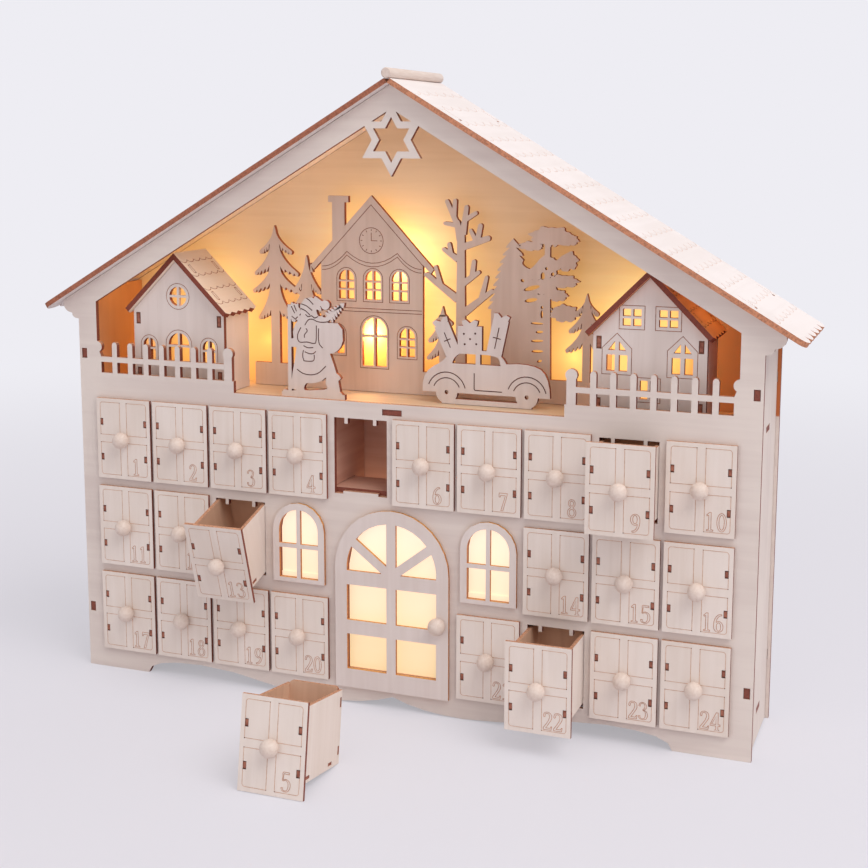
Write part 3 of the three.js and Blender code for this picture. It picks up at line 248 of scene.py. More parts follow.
def scorched(tree, where, up=scorch_lit_from_above, side=scorch_side):
    """Colour of a laser-cut edge: painted lighter where it looks up, as painted light from above, with fine darker
    strokes across the ply.
    """
    normal = node(tree, "ShaderNodeTexCoord").outputs["Normal"]
    rise = node(tree, "ShaderNodeSeparateXYZ", Vector=normal).outputs["Z"]
    colour = blend_colour(tree, ramp(tree, rise, 0.1, 0.8), side, up)
    strokes = node(tree, "ShaderNodeTexNoise", Vector=where, Scale=900, Detail=2).outputs[0]
    return blend_colour(tree, maths(tree, "MULTIPLY", ramp(tree, strokes, 0.4, 0.7), 0.5), colour, scorch_seam)

# %% Plywood materials
def finish_with(tree, colour, height, roughness=0.62, strength=0.12):
    """Ends a wood material: a soft bump from its pores and a dull surface."""
    bump = node(tree, "ShaderNodeBump", Height=height, Strength=strength, Distance=0.05 * mm)
    shader = node(tree, "ShaderNodeBsdfPrincipled", Base_Color=colour, Roughness=roughness, Normal=bump.outputs[0])
    node(tree, "ShaderNodeOutputMaterial", Surface=shader.outputs[0])
    return shader


def plywood(name, normal, grain, light=veneer_light, deep=veneer_deep, up=scorch_lit_from_above, side=scorch_side):
    """Plywood for a CAD board whose broad faces look along a direction; every other face is a scorched edge."""
    material, tree = new_material(name)
    coordinates = node(tree, "ShaderNodeTexCoord")
    where = coordinates.outputs["Object"]
    along = node(tree, "ShaderNodeVectorMath", operation="DOT_PRODUCT",
                 **{"0": coordinates.outputs["Normal"], "1": normal}).outputs["Value"]
    facing = ramp(tree, maths(tree, "ABSOLUTE", along), 0.80, 0.86)
    face, height = veneer(tree, where, grain, light, deep)
    finish_with(tree, blend_colour(tree, facing, scorched(tree, where, up, side), face), height)
    return material

# %% Veneer alone, edge alone and engraved line
def face_wood(name, grain, place_name=None, light=veneer_light, deep=veneer_deep):
    """Veneer alone, for boards made here. It reads the piece's own place attribute where one is named."""
    material, tree = new_material(name)
    where = node(tree, "ShaderNodeTexCoord").outputs["Object"]
    if place_name:
        where = node(tree, "ShaderNodeAttribute", attribute_name=place_name).outputs["Vector"]
    colour, height = veneer(tree, where, grain, light, deep)
    finish_with(tree, colour, height)
    return material


def edge_wood(name, up=scorch_lit_from_above, side=scorch_side):
    """Scorched edge alone."""
    material, tree = new_material(name)
    where = node(tree, "ShaderNodeTexCoord").outputs["Object"]
    strokes = node(tree, "ShaderNodeTexNoise", Vector=where, Scale=1500, Detail=2).outputs[0]
    finish_with(tree, scorched(tree, where, up, side), strokes, 0.75, 0.2)
    return material


def burnt_line(name, light, dark):
    """Floor and walls of an engraved line: brown, darker where the beam dwelt."""
    material, tree = new_material(name)
    where = node(tree, "ShaderNodeTexCoord").outputs["Object"]
    dwell = node(tree, "ShaderNodeTexNoise", Vector=where, Scale=420, Detail=2).outputs[0]
    finish_with(tree, blend_colour(tree, ramp(tree, dwell, 0.35, 0.65), light, dark), dwell, 0.8, 0.1)
    return material

# %% Dressing the CAD boards
def dress(names, material):
    """Gives CAD boards their material."""
    for name in names:
        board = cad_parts[name]
        board.data.materials.clear()
        board.data.materials.append(material)

# %% CAD boards in plywood
front_wood = plywood("front_plywood", (0, 1, 0), "X")
door_wood = plywood("door_plywood", (0, 1, 0), "Z", srgb(228, 215, 208), srgb(220, 205, 197), srgb(222, 158, 84),
                    srgb(196, 124, 62))
# Inner boards, shelves and dividers get darker, browner wood and edges: painted shade for the bays behind the front
# board.
painted_bay_shade = {"light": srgb(214, 166, 144), "deep": srgb(196, 144, 122), "up": srgb(164, 108, 82)}
inner_upright = plywood("inner_plywood", (0, 1, 0), "X", **painted_bay_shade)
inner_across = plywood("divider_plywood", (1, 0, 0), "Y", **painted_bay_shade)
inner_flat = plywood("shelf_plywood", (0, 0, 1), "X", **painted_bay_shade)
dress(["front_panel"], front_wood)
dress(["entrance_door", "window_left", "window_right"], door_wood)
dress(["inner_board"], inner_upright)
dress([f"divider_{index}" for index in range(1, 10)], inner_across)
dress(["base_board", "shelf_upper", "shelf_lower_left", "shelf_lower_right"], inner_flat)
dress(["scene_floor"], plywood("scene_floor_plywood", (0, 0, 1), "X", srgb(236, 208, 176), srgb(226, 194, 158)))
print("plywood on", len(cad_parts), "CAD nodes to come")

# %% [markdown]
# ## The lamps' glow in the gable
# Tiny warm lamps are hidden behind the village. The bulbs don't show, and what shows is their light on the
# back board: pale yellow close to a bulb, deep orange further off, where the light has bounced from wood to wood.
# The light of a bulb that hangs a distance s from a wall falls off as (s / d) cubed, with d from the bulb to the
# point on the wall. That formula, added up over the bulbs as g and held below a limit m as g / √(1 + (g / m)²),
# gives the wall its glow, and the wall then lights the rest of the gable.

# %% Glow of the bulbs
# x and height of each bulb, its distance from the board and its strength, with lengths in millimetres
back_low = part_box("back_panel")[0]
scene_floor_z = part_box("scene_floor")[1].z
bulbs = [(-34, 236, 24, 0.75), (-4, 266, 26, 0.78), (10, 222, 22, 0.70), (-50, 282, 22, 0.35), (-112, 206, 22, 0.25),
         (-156, 214, 30, 0.90), (-150, 242, 20, 0.45), (93, 210, 24, 0.50), (130, 214, 32, 1.20), (134, 240, 24, 0.60),
         (55, 236, 40, 0.10), (-90, 250, 42, 0.14)]
glow_start, glow_limit = 0.11, 0.85
glow_wood, tree = new_material("back_board_in_lamp_light")
coordinates = node(tree, "ShaderNodeTexCoord")
where = coordinates.outputs["Object"]
glow = glow_start
for x, z, stand_off, strength in bulbs:
    bulb = (x * mm, back_low.y - stand_off * mm, z * mm)
    distance = node(tree, "ShaderNodeVectorMath", operation="DISTANCE", **{"0": where, "1": bulb}).outputs["Value"]
    share = maths(tree, "POWER", maths(tree, "DIVIDE", stand_off * mm, distance), 3.0)
    glow = maths(tree, "MULTIPLY_ADD", share, strength, glow)
place = node(tree, "ShaderNodeSeparateXYZ", Vector=where)
looking = node(tree, "ShaderNodeSeparateXYZ", Vector=coordinates.outputs["Normal"]).outputs["Y"]
inside = maths(tree, "MULTIPLY", ramp(tree, looking, -0.9, -0.8, 1.0, 0.0),
               ramp(tree, place.outputs["Z"], scene_floor_z - 1 * mm, scene_floor_z))
low_glow = blend_colour(tree, ramp(tree, glow, 0.12, 0.45), (0.82, 0.40, 0.13, 1.0), (0.98, 0.60, 0.17, 1.0))
glow_colour = blend_colour(tree, ramp(tree, glow, 0.45, 1.0), low_glow, (1.0, 0.74, 0.24, 1.0))
print("glow of", len(bulbs), "bulbs")

# %% Back board in the lamps' light
along = node(tree, "ShaderNodeVectorMath", operation="DOT_PRODUCT",
             **{"0": coordinates.outputs["Normal"], "1": (0, 1, 0)}).outputs["Value"]
facing = ramp(tree, maths(tree, "ABSOLUTE", along), 0.80, 0.86)
face, height = veneer(tree, where, "X")
# The board's wood is painted amber as if in the bulbs' light, paler on the left and darker to the right: painted glow,
# with painted shade from the right roof.
painted_glow_left = veneer(tree, where, "X", srgb(226, 206, 184), srgb(214, 192, 168))[0]
painted_glow_shaded_right = veneer(tree, where, "X", srgb(204, 176, 150), srgb(192, 162, 136))[0]
across = place.outputs["X"]
# Behind the right cottage the wood is painted dark orange and its glow is cut to 0.4: painted shade of the cottage.
painted_shade_behind_cottage = ramp(tree, across, 158 * mm, 176 * mm)
warm = blend_colour(tree, ramp(tree, across, -120 * mm, 110 * mm), painted_glow_left, painted_glow_shaded_right)
# Low down the wood turns yellow: painted light of the bulbs behind the village.
painted_glow_low = ramp(tree, place.outputs["Z"], 212 * mm, 250 * mm, 0.85, 0.0)
warm = blend_colour(tree, painted_glow_low, warm, srgb(238, 188, 104))
warm = blend_colour(tree, painted_shade_behind_cottage, warm, srgb(176, 84, 34))
painted_glow_face = blend_colour(tree, inside, face, warm)
shader = finish_with(tree, blend_colour(tree, facing, scorched(tree, where), painted_glow_face), height)
squared = maths(tree, "POWER", maths(tree, "DIVIDE", glow, glow_limit), 2.0)
held = maths(tree, "DIVIDE", glow, maths(tree, "SQRT", maths(tree, "ADD", squared, 1.0)))
held = maths(tree, "MULTIPLY", held, ramp(tree, painted_shade_behind_cottage, 0, 1, 1.0, 0.4))
tree.links.new(glow_colour, shader.inputs["Emission Color"])
tree.links.new(maths(tree, "MULTIPLY", held, inside), shader.inputs["Emission Strength"])
dress(["back_panel"], glow_wood)
print("back board glows above z =", round(scene_floor_z, 4))

# %% Side boards, with the glow's amber light painted inside the gable
for side, name, painted_glow_tint in ((-1, "side_panel_left", srgb(255, 198, 148)),
                                 (1, "side_panel_right", srgb(200, 68, 16))):
    material, tree = new_material(name + "_plywood")
    coordinates = node(tree, "ShaderNodeTexCoord")
    where = coordinates.outputs["Object"]
    across = node(tree, "ShaderNodeSeparateXYZ", Vector=coordinates.outputs["Normal"]).outputs["X"]
    place = node(tree, "ShaderNodeSeparateXYZ", Vector=where)
    face, height = veneer(tree, where, "Z")
    facing = ramp(tree, maths(tree, "ABSOLUTE", across), 0.80, 0.86)
    inward = ramp(tree, maths(tree, "MULTIPLY", across, -side), 0.80, 0.86)
    lit = maths(tree, "MULTIPLY", inward, ramp(tree, place.outputs["Z"], scene_floor_z - 1 * mm, scene_floor_z))
    wood = blend_colour(tree, facing, scorched(tree, where), face)
    # Inside the gable the wood is multiplied by amber: painted light of the glow, pale on the left board and deep
    # orange on the right one, in painted shade.
    amber = blend_colour(tree, 1.0, face, painted_glow_tint, "MULTIPLY")
    finish_with(tree, blend_colour(tree, lit, wood, amber), height)
    dress([name], material)
print("side boards are amber above z =", round(scene_floor_z, 4))

# %% [markdown]
# ## Small lamps in the gable
# The glowing wall lights the village and the cottages from behind only, but in the real house the cottages are lit
# inside as well. A few tiny point lamps stand there, so the cottages' walls and roofs turn amber too. Their power
# is given in the list: a lamp that is close to a board needs very little.

# %% Small lamps that light what stands before the wall
def glow_lamp(name, x, y, z, power):
    """A tiny warm lamp. It lights the wood, but as a bare ball it would show, so the camera doesn't see it."""
    lamp = bpy.data.lights.new(name, "POINT")
    lamp.energy, lamp.color, lamp.shadow_soft_size = power, (1.0, 0.62, 0.24), 4 * mm
    holder = bpy.data.objects.new(name, lamp)
    holder.location = (x * mm, y, z * mm)
    holder.visible_camera = False
    bpy.context.scene.collection.objects.link(holder)


behind_village = (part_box("village")[1].y + back_low.y) / 2
in_cottage = (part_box("cottage_right_walls")[0].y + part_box("cottage_right_walls")[1].y) / 2
# x in millimetres, depth in metres, height in millimetres, power in watts
small_lamps = [(-40, behind_village, 215, 0.045), (-112, behind_village, 208, 0.0012),
               (90, behind_village, 208, 0.0015), (-20, behind_village, 262, 0.035),
               (140, in_cottage, 226, 0.018), (188, in_cottage, 250, 0.0035),
               (-147, in_cottage, 222, 0.016), (-186, in_cottage, 238, 0.0032), (-96, in_cottage, 224, 0.004)]
for index, lamp_place in enumerate(small_lamps):
    glow_lamp(f"glow_lamp_{index}", *lamp_place)
print(len(small_lamps), "glow lamps at depths", round(behind_village, 3), "and", round(in_cottage, 3))

# %% [markdown]
# ## Opal sheet
# Behind the door and both windows lies one opal sheet with lamps behind it. It glows nearly white at the top and
# warmer towards the floor, so its own light follows the height.

# %% Opal sheet
opal, tree = new_material("lit_opal")
where = node(tree, "ShaderNodeTexCoord").outputs["Object"]
place = node(tree, "ShaderNodeSeparateXYZ", Vector=where)
drift = node(tree, "ShaderNodeTexNoise", Vector=where, Scale=28, Detail=1).outputs[0]
warm_below, white_above = 0.03, 0.115
height = maths(tree, "ADD", ramp(tree, place.outputs["Z"], warm_below, white_above),
               maths(tree, "MULTIPLY", drift, 0.15))
glow = blend_colour(tree, height, (0.62, 0.44, 0.21, 1), (0.90, 0.69, 0.53, 1))
shader = node(tree, "ShaderNodeBsdfPrincipled", Base_Color=srgb(198, 184, 160), Roughness=0.5, Emission_Color=glow,
              Emission_Strength=1.0)
node(tree, "ShaderNodeOutputMaterial", Surface=shader.outputs[0])
dress(["light_diffuser"], opal)
print("opal sheet turns from warm to white between z =", warm_below, "and", white_above)

# %% [markdown]
# ## Engraved lines
# The maker's laser draws thin brown lines in the wood: door panes and numbers on the drawers, shingles on the
# roofs, frames round the windows. A line could be painted on, but it is a real groove a third of a millimetre
# deep, so here it is cut. A line becomes a ribbon, moved half its width to each side along the mitre of its
# corners, the ribbon becomes a closed bar, and a Boolean takes the bars out of the board.

# %% Lines and bars
def ribbon(points, width, closed):
    """Both sides of a line: point ± width / 2 · m, with mitre m = (a + b) / (1 + a · b), where a and b are the
    unit normals of the stretches before and after the point."""
    if closed:
        before, after = np.roll(points, 1, axis=0), np.roll(points, -1, axis=0)
    else:
        before = np.vstack([2 * points[0] - points[1], points[:-1]])
        after = np.vstack([points[1:], 2 * points[-1] - points[-2]])
    first, second = points - before, after - points
    a = np.stack([-first[:, 1], first[:, 0]], axis=1) / np.linalg.norm(first, axis=1)[:, None]
    b = np.stack([-second[:, 1], second[:, 0]], axis=1) / np.linalg.norm(second, axis=1)[:, None]
    mitre = (a + b) / np.maximum(1 + (a * b).sum(axis=1), 0.45)[:, None]
    return points + mitre * width / 2, points - mitre * width / 2


def put(face, flat, out):
    """Place in metres of drawing points on a face: origin + u · along + v · up + height · out."""
    origin, along, up, outward = face
    return origin + mm * (flat[:, :1] * along + flat[:, 1:] * up + out * outward)


def outward_faces(points, quads):
    """The same faces, turned round if the volume under them, the sum of a · (b × c) / 6, comes out negative."""
    a, b, c, d = (points[quads[:, k]] for k in range(4))
    volume = (a * np.cross(b, c)).sum() + (a * np.cross(c, d)).sum()
    return quads[:, ::-1] if volume < 0 else quads

# %% Bar along a line
def groove_bar(points, width, depth, face, closed):
    """Closed bar along a line: four corners at each point, from above the face down to the groove's floor."""
    points = np.asarray(points, float)
    left, right = ribbon(points, width, closed)
    over = 0.4
    rings = np.stack([put(face, left, over), put(face, right, over), put(face, right, -depth),
                      put(face, left, -depth)], axis=1)
    count = len(points)
    start = np.arange(count if closed else count - 1)[:, None] * 4
    ahead = (start + 4) % (count * 4)
    side = np.arange(4)[None, :]
    turn = (side + 1) % 4
    quads = np.stack([start + side, start + turn, ahead + turn, ahead + side], axis=2).reshape(-1, 4)
    if not closed:
        last = (count - 1) * 4
        quads = np.vstack([quads, [[3, 2, 1, 0]], [[last, last + 1, last + 2, last + 3]]])
    corners = rings.reshape(-1, 3)
    return corners, outward_faces(corners, quads)

# %% Cutting
def share_out(lines, clear=0.6):
    """Puts each line in the first tray in which its box stays clear of the others, so no cutter meets itself."""
    trays = []
    for points, closed in lines:
        points = np.asarray(points, float)
        low, high = points.min(axis=0) - clear, points.max(axis=0) + clear
        for tray in trays:
            if all((low > other[1]).any() or (high < other[0]).any() for other in tray):
                tray.append((low, high, points, closed))
                break
        else:
            trays.append([(low, high, points, closed)])
    return trays


def join(solids):
    """Points and faces of several closed solids as one list."""
    points, faces, count = [], [], 0
    for corners, quads in solids:
        points.append(corners)
        faces.extend((np.asarray(quads) + count).tolist())
        count += len(corners)
    return np.vstack(points), faces

# %% Pieces and Booleans
def new_piece(name, points, faces, materials):
    """A mesh object at the origin."""
    mesh = bpy.data.meshes.new(name)
    mesh.from_pydata(points.tolist(), [], faces if isinstance(faces, list) else faces.tolist())
    for material in materials:
        mesh.materials.append(material)
    piece = bpy.data.objects.new(name, mesh)
    bpy.context.scene.collection.objects.link(piece)
    return piece


def carve(piece, cutters, operation="DIFFERENCE"):
    """Takes closed cutters out of a closed piece, or adds them to it, one Boolean each."""
    for cutter in cutters:
        modifier = piece.modifiers.new("cut", "BOOLEAN")
        modifier.operation, modifier.solver, modifier.object = operation, "MANIFOLD", cutter
    bpy.context.view_layer.update()
    carved = bpy.data.meshes.new_from_object(piece.evaluated_get(bpy.context.evaluated_depsgraph_get()))
    carved.shade_flat()
    piece.modifiers.clear()
    plain, piece.data = piece.data, carved
    bpy.data.meshes.remove(plain)
    for cutter in cutters:
        bpy.data.objects.remove(cutter)

# %% Cutters for lines
def line_cutters(lines, width, depth, face):
    """Cutters for engraved lines."""
    return [new_piece("cutter", *join([groove_bar(points, width, depth, face, closed)
                                       for _, _, points, closed in tray]), []) for tray in share_out(lines)]


def box_solid(low, high):
    """Corners and faces of a square-edged block between two corners."""
    picks = np.array([(0, 0, 0), (1, 0, 0), (1, 1, 0), (0, 1, 0), (0, 0, 1), (1, 0, 1), (1, 1, 1), (0, 1, 1)])
    corners = np.where(picks, np.array(high, float), np.array(low, float))
    quads = np.array([(0, 3, 2, 1), (4, 5, 6, 7), (0, 1, 5, 4), (1, 2, 6, 5), (2, 3, 7, 6), (3, 0, 4, 7)])
    return corners, quads

# %% Copies of CAD boards
def merged_copy(node_name, name):
    """A copy of a CAD board whose loose triangles share their corners again."""
    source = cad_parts[node_name].data
    corners = np.empty(len(source.vertices) * 3)
    source.vertices.foreach_get("co", corners)
    picks = np.empty(len(source.loops), int)
    source.loops.foreach_get("vertex_index", picks)
    grid = 0.0002 * mm
    unique, inverse = np.unique(np.round(corners.reshape(-1, 3) / grid).astype(np.int64), axis=0, return_inverse=True)
    triangles = inverse.reshape(-1)[picks].reshape(-1, 3)
    real = (triangles[:, 0] != triangles[:, 1]) & (triangles[:, 1] != triangles[:, 2]) & (
        triangles[:, 2] != triangles[:, 0])
    return new_piece(name, unique * grid, triangles[real], [])


def face_data(mesh):
    """Middle and direction of every face."""
    middles, normals = np.empty(len(mesh.polygons) * 3), np.empty(len(mesh.polygons) * 3)
    mesh.polygons.foreach_get("center", middles)
    mesh.polygons.foreach_get("normal", normals)
    return middles.reshape(-1, 3), normals.reshape(-1, 3)

# %% Finishes of a board
def finish_board(piece, face, depth, materials):
    """Gives faces their finish: 0 veneer, 1 scorched edge, 2 engraved line down to a depth below the face."""
    mesh = piece.data
    mesh.materials.clear()
    for material in materials:
        mesh.materials.append(material)
    middles, normals = face_data(mesh)
    origin, _, _, outward = face
    below = (origin - middles) @ outward
    broad = np.abs(normals @ outward) > 0.9
    engraved = (below > 0.01 * mm) & (below < (depth + 0.03) * mm)
    mesh.polygons.foreach_set("material_index", np.where(engraved, 2, np.where(broad, 0, 1)))
    mesh.update()


def stand_for(piece, node_name, body="house"):
    """Hides the CAD node that a piece stands for and lets the piece ride with its body."""
    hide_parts(node_name)
    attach(piece, body)

# %% Shapes of lines
def arc(x, z, radius, start, end, steps=12):
    """Points x + r cos t, z + r sin t, for t from start to end in degrees."""
    t = np.radians(np.linspace(start, end, steps + 1))
    return np.stack([x + radius * np.cos(t), z + radius * np.sin(t)], axis=1)


def arch_line(x, bottom, top, width, steps=12):
    """Outline of an arched window: a square foot under a half circle."""
    half = width / 2
    return np.vstack([[(x - half, bottom), (x + half, bottom)], arc(x, top - half, half, 0, 180, steps)])


def square_line(x0, z0, x1, z1):
    """Outline of a rectangle."""
    return np.array([(x0, z0), (x1, z0), (x1, z1), (x0, z1)], float)


def smooth(points, closed=False, steps=5):
    """Catmull-Rom curve through points: half of (2b + (c - a) t + (2a - 5b + 4c - d) t² + (3b - a - 3c + d) t³)."""
    points = np.asarray(points, float)
    padded = np.vstack([points[-1], points, points[:2]]) if closed else np.vstack([points[0], points, points[-1]])
    a, b, c, d = (padded[k:len(padded) - 3 + k, None, :] for k in range(4))
    t = np.arange(steps)[None, :, None] / steps
    curve = 0.5 * (2 * b + (c - a) * t + (2 * a - 5 * b + 4 * c - d) * t ** 2 + (3 * b - a - 3 * c + d) * t ** 3)
    curve = curve.reshape(-1, points.shape[1])
    return curve if closed else np.vstack([curve, points[-1]])

# %% [markdown]
# ## Drawers
# Each of the 24 drawers is a little box behind a front board that is drawn as a window of four panes. The side
# boards come through the front with two tabs each, which show as dark slots with a lighter tab end. All drawers
# are alike but for the number, so the boards are worked out once, and only the number is cut for each.

# %% Drawer sizes
front_width, front_height, sheet = 38.0, 50.8, 2.0
box_half, box_depth = 16.5, 46.5
box_bottom, box_top, back_top = 7.1, 47.3, 49.0
bottom_board_z = 8.6
slot_heights, slot_height = (13.6, 35.9), 4.3
pane_inner, pane_outer_x, pane_outer_z, pane_round = 2.45, 16.4, 22.9, 1.6
groove_width, pane_depth, figure_depth = 0.34, 0.14, 0.26
dot_width, dot_depth = 0.3, 0.7
knob_out, knob_radius, knob_seat = 3.8, 5.0, 4.0
unit = (np.zeros(3), np.array([1.0, 0, 0]), np.array([0, 0, 1.0]), np.array([0, -1.0, 0]))
front_face = (np.array([0, -sheet * mm, 0]), *unit[1:])
print("front", front_width, "x", front_height, "mm, box", 2 * box_half, "mm wide and", box_depth, "mm deep")

# %% Drawer materials
drawer_face = face_wood("drawer_veneer", "Z", "grain_place", srgb(234, 221, 211), srgb(226, 211, 199))
# The drawer's inner faces get darker, browner wood: painted shade inside the box.
drawer_inside = face_wood("drawer_inside", "Z", "grain_place", srgb(224, 186, 158), srgb(208, 168, 140))
drawer_edge = edge_wood("drawer_scorched_edge")
drawer_line = burnt_line("engraved_line", srgb(220, 184, 158), srgb(200, 154, 124))
drawer_dot = burnt_line("engraved_dot", srgb(140, 88, 66), srgb(106, 60, 44))
tab_end = burnt_line("tab_end", srgb(172, 110, 88), srgb(138, 78, 62))
figure_burn = burnt_line("engraved_figure", srgb(216, 160, 124), srgb(192, 130, 96))


def turned_wood(name):
    """Turned birch: soft rings across a pale ball or rod."""
    material, tree = new_material(name)
    where = node(tree, "ShaderNodeTexCoord").outputs["Object"]
    stretched = node(tree, "ShaderNodeMapping", Vector=where, Scale=(1, 0.12, 1)).outputs[0]
    rings = node(tree, "ShaderNodeTexNoise", Vector=stretched, Scale=700, Detail=3).outputs[0]
    pale, warm = srgb(225, 208, 196), srgb(216, 196, 182)
    finish_with(tree, blend_colour(tree, ramp(tree, rings, 0.35, 0.7), pale, warm), rings, 0.5, 0.06)
    return material


turned = turned_wood("turned_birch")
# A face takes its finish by its number in this list, from 0 to 7
drawer_materials = [drawer_face, drawer_edge, drawer_line, drawer_dot, tab_end, turned, figure_burn, drawer_inside]
print(len(drawer_materials), "finishes on a drawer")

# %% [markdown]
# ## Numbers
# Each front carries its number below the right-hand panes, drawn as an outline that isn't filled. A font would
# bring its own shapes, so the ten figures are drawn here: straight stretches as points and round ones as a smoothed
# curve, all at a height of 1, and scaled to the height on the wood.

# %% Numbers
def stroke_outline(centre, widths):
    """Closed outline of a stroke that swells and thins along a smoothed centre line."""
    line = smooth(np.column_stack([centre, widths]))
    left, right = ribbon(line[:, :2], 1.0, False)
    share = line[:, 2:]
    return np.vstack([line[:, :2] + (left - line[:, :2]) * share, (line[:, :2] + (right - line[:, :2]) * share)[::-1]])


def ellipse(x, z, rx, rz, steps=20):
    """Points of an ellipse."""
    t = np.linspace(0, 2 * np.pi, steps, endpoint=False)
    return np.stack([x + rx * np.cos(t), z + rz * np.sin(t)], axis=1)

# %% Outlines of the ten figures
six_rim = [(.44, .93), (.40, .99), (.24, .94), (.09, .74), (.02, .45), (.04, .17), (.15, .03), (.28, 0), (.42, .06),
           (.51, .20), (.50, .42), (.40, .56), (.26, .60), (.15, .54), (.20, .74), (.32, .89)]
six = [smooth(six_rim, True), ellipse(.28, .29, .12, .23)]
eight_rim = [(.27, 1), (.40, .95), (.46, .80), (.42, .65), (.34, .55), (.46, .43), (.51, .26), (.44, .07), (.27, 0),
             (.10, .07), (.03, .26), (.08, .43), (.20, .55), (.12, .65), (.08, .80), (.14, .95)]
figures = {
    "0": [ellipse(.27, .5, .25, .5), ellipse(.27, .5, .14, .40)],
    "1": [np.array([(.06, .86), (.20, 1), (.29, 1), (.29, .08), (.40, .06), (.40, 0), (.06, 0), (.06, .06),
                    (.17, .08), (.17, .84), (.08, .80)])],
    "2": [np.array([(.03, 0), (.47, 0), (.51, .20), (.46, .20), (.42, .10), (.17, .10), (.30, .30), (.44, .52),
                    (.50, .66), (.49, .82), (.44, .92), (.35, .98), (.24, 1), (.13, .97), (.06, .89), (.03, .76),
                    (.08, .71), (.13, .75), (.13, .84), (.18, .91), (.26, .93), (.33, .90), (.37, .82), (.37, .70),
                    (.32, .54), (.20, .34), (.03, .10)])],
    "3": [stroke_outline([(.06, .78), (.11, .93), (.25, .97), (.38, .88), (.38, .68), (.26, .56), (.40, .48),
                          (.45, .28), (.38, .09), (.22, .03), (.08, .09), (.05, .22)],
                         [.09, .06, .05, .08, .09, .04, .07, .12, .09, .05, .06, .09])],
    "4": [np.array([(.31, 1), (.42, 1), (.42, .34), (.53, .34), (.53, .25), (.42, .25), (.42, .06), (.50, 0),
                    (.22, 0), (.31, .06), (.31, .25), (0, .25), (0, .32)]),
          np.array([(.31, .80), (.08, .34), (.31, .34)])],
    "5": [stroke_outline([(.44, .95), (.28, .95), (.12, .95), (.10, .78), (.09, .58), (.26, .62), (.42, .50),
                          (.45, .28), (.36, .08), (.20, .03), (.07, .09), (.05, .20)],
                         [.09, .09, .08, .04, .05, .05, .10, .12, .08, .05, .07, .09])],
    "6": six,
    "7": [np.array([(.03, 1), (.50, 1), (.50, .93), (.25, 0), (.13, 0), (.39, .87), (.12, .87), (.08, .76),
                    (.02, .78)])],
    "8": [smooth(eight_rim, True), ellipse(.27, .78, .10, .14), ellipse(.27, .27, .14, .19)],
    "9": [np.array([.54, 1]) - outline for outline in six],
}

# %% Place of a number
number_height, number_foot, number_middle, number_pitch = 10.2, 3.3, 8.8, 5.9


def number_lines(number):
    """Outlines of a number's figures, side by side under the right-hand panes."""
    text = str(number)
    left = number_middle - number_pitch * len(text) / 2 + 0.3
    return [(outline * number_height + (left + index * number_pitch, number_foot), True)
            for index, figure in enumerate(text) for outline in figures[figure]]


print("outlines of", len(figures), "figures")

# %% [markdown]
# ## Front board of a drawer
# The front is a board with four engraved panes, each with one rounded corner, and four slots for the side boards'
# tabs. The panes and the dots at their ends are grooves, and the slots go right through.

# %% Front board with its panes
def pane_line(side, rise):
    """A pane: three sharp corners, and a round one at the corner of the board."""
    inner_x, outer_x, inner_z, outer_z = pane_inner, pane_outer_x, pane_inner, pane_outer_z
    rounded = arc(outer_x - pane_round, outer_z - pane_round, pane_round, 0, 90, 5)
    corner = np.vstack([[(inner_x, inner_z), (outer_x, inner_z)], rounded, [(inner_x, outer_z)]])
    return corner * (side, rise) + (0, front_height / 2)


panes = [(pane_line(side, rise), True) for side in (-1, 1) for rise in (-1, 1)]
dots = [(ellipse(side * x, front_height / 2 + rise * z, 0.12, 0.12, 8), True) for side in (-1, 1) for rise in (-1, 1)
        for x, z in ((pane_outer_x, pane_inner), (pane_inner, pane_outer_z))]
half = front_width / 2
blank = new_piece("front_blank", *box_solid((-half * mm, -sheet * mm, 0), (half * mm, 0, front_height * mm)), [])
slots = [box_solid(((side * (box_half - 1) - 1.05) * mm, -5 * mm, (z - slot_height / 2) * mm),
                   ((side * (box_half - 1) + 1.05) * mm, 5 * mm, (z + slot_height / 2) * mm))
         for side in (-1, 1) for z in slot_heights]
carve(blank, line_cutters(panes, groove_width, pane_depth, front_face)
      + line_cutters(dots, dot_width, dot_depth, front_face) + [new_piece("cutter", *join(slots), [])])
print("front board with", len(blank.data.polygons), "faces")

# %% [markdown]
# ## Box behind the front
# Two sides, a back and a bottom are glued behind the front. Each board is a closed solid of its own, so that its
# edges look scorched and its faces show veneer. The knob is a turned ball with a flat seat.

# %% Solids of the box behind the front
def plate_solid(outline, y0, y1):
    """A plate between two depths from its outline in x and z: two end faces and a wall round them."""
    count = len(outline)
    ring = lambda y: np.column_stack([outline[:, 0], np.full(count, float(y)), outline[:, 1]])
    points = np.vstack([ring(y0), ring(y1)]) * mm
    at = np.arange(count)
    ahead = (at + 1) % count
    walls = np.stack([at, ahead, ahead + count, at + count], axis=1)
    area = (outline[:, 0] * np.roll(outline[:, 1], -1) - np.roll(outline[:, 0], -1) * outline[:, 1]).sum()
    faces = [at.tolist(), (at[::-1] + count).tolist()] + walls[:, ::-1].tolist()
    return points, faces if area > 0 else [face[::-1] for face in faces]


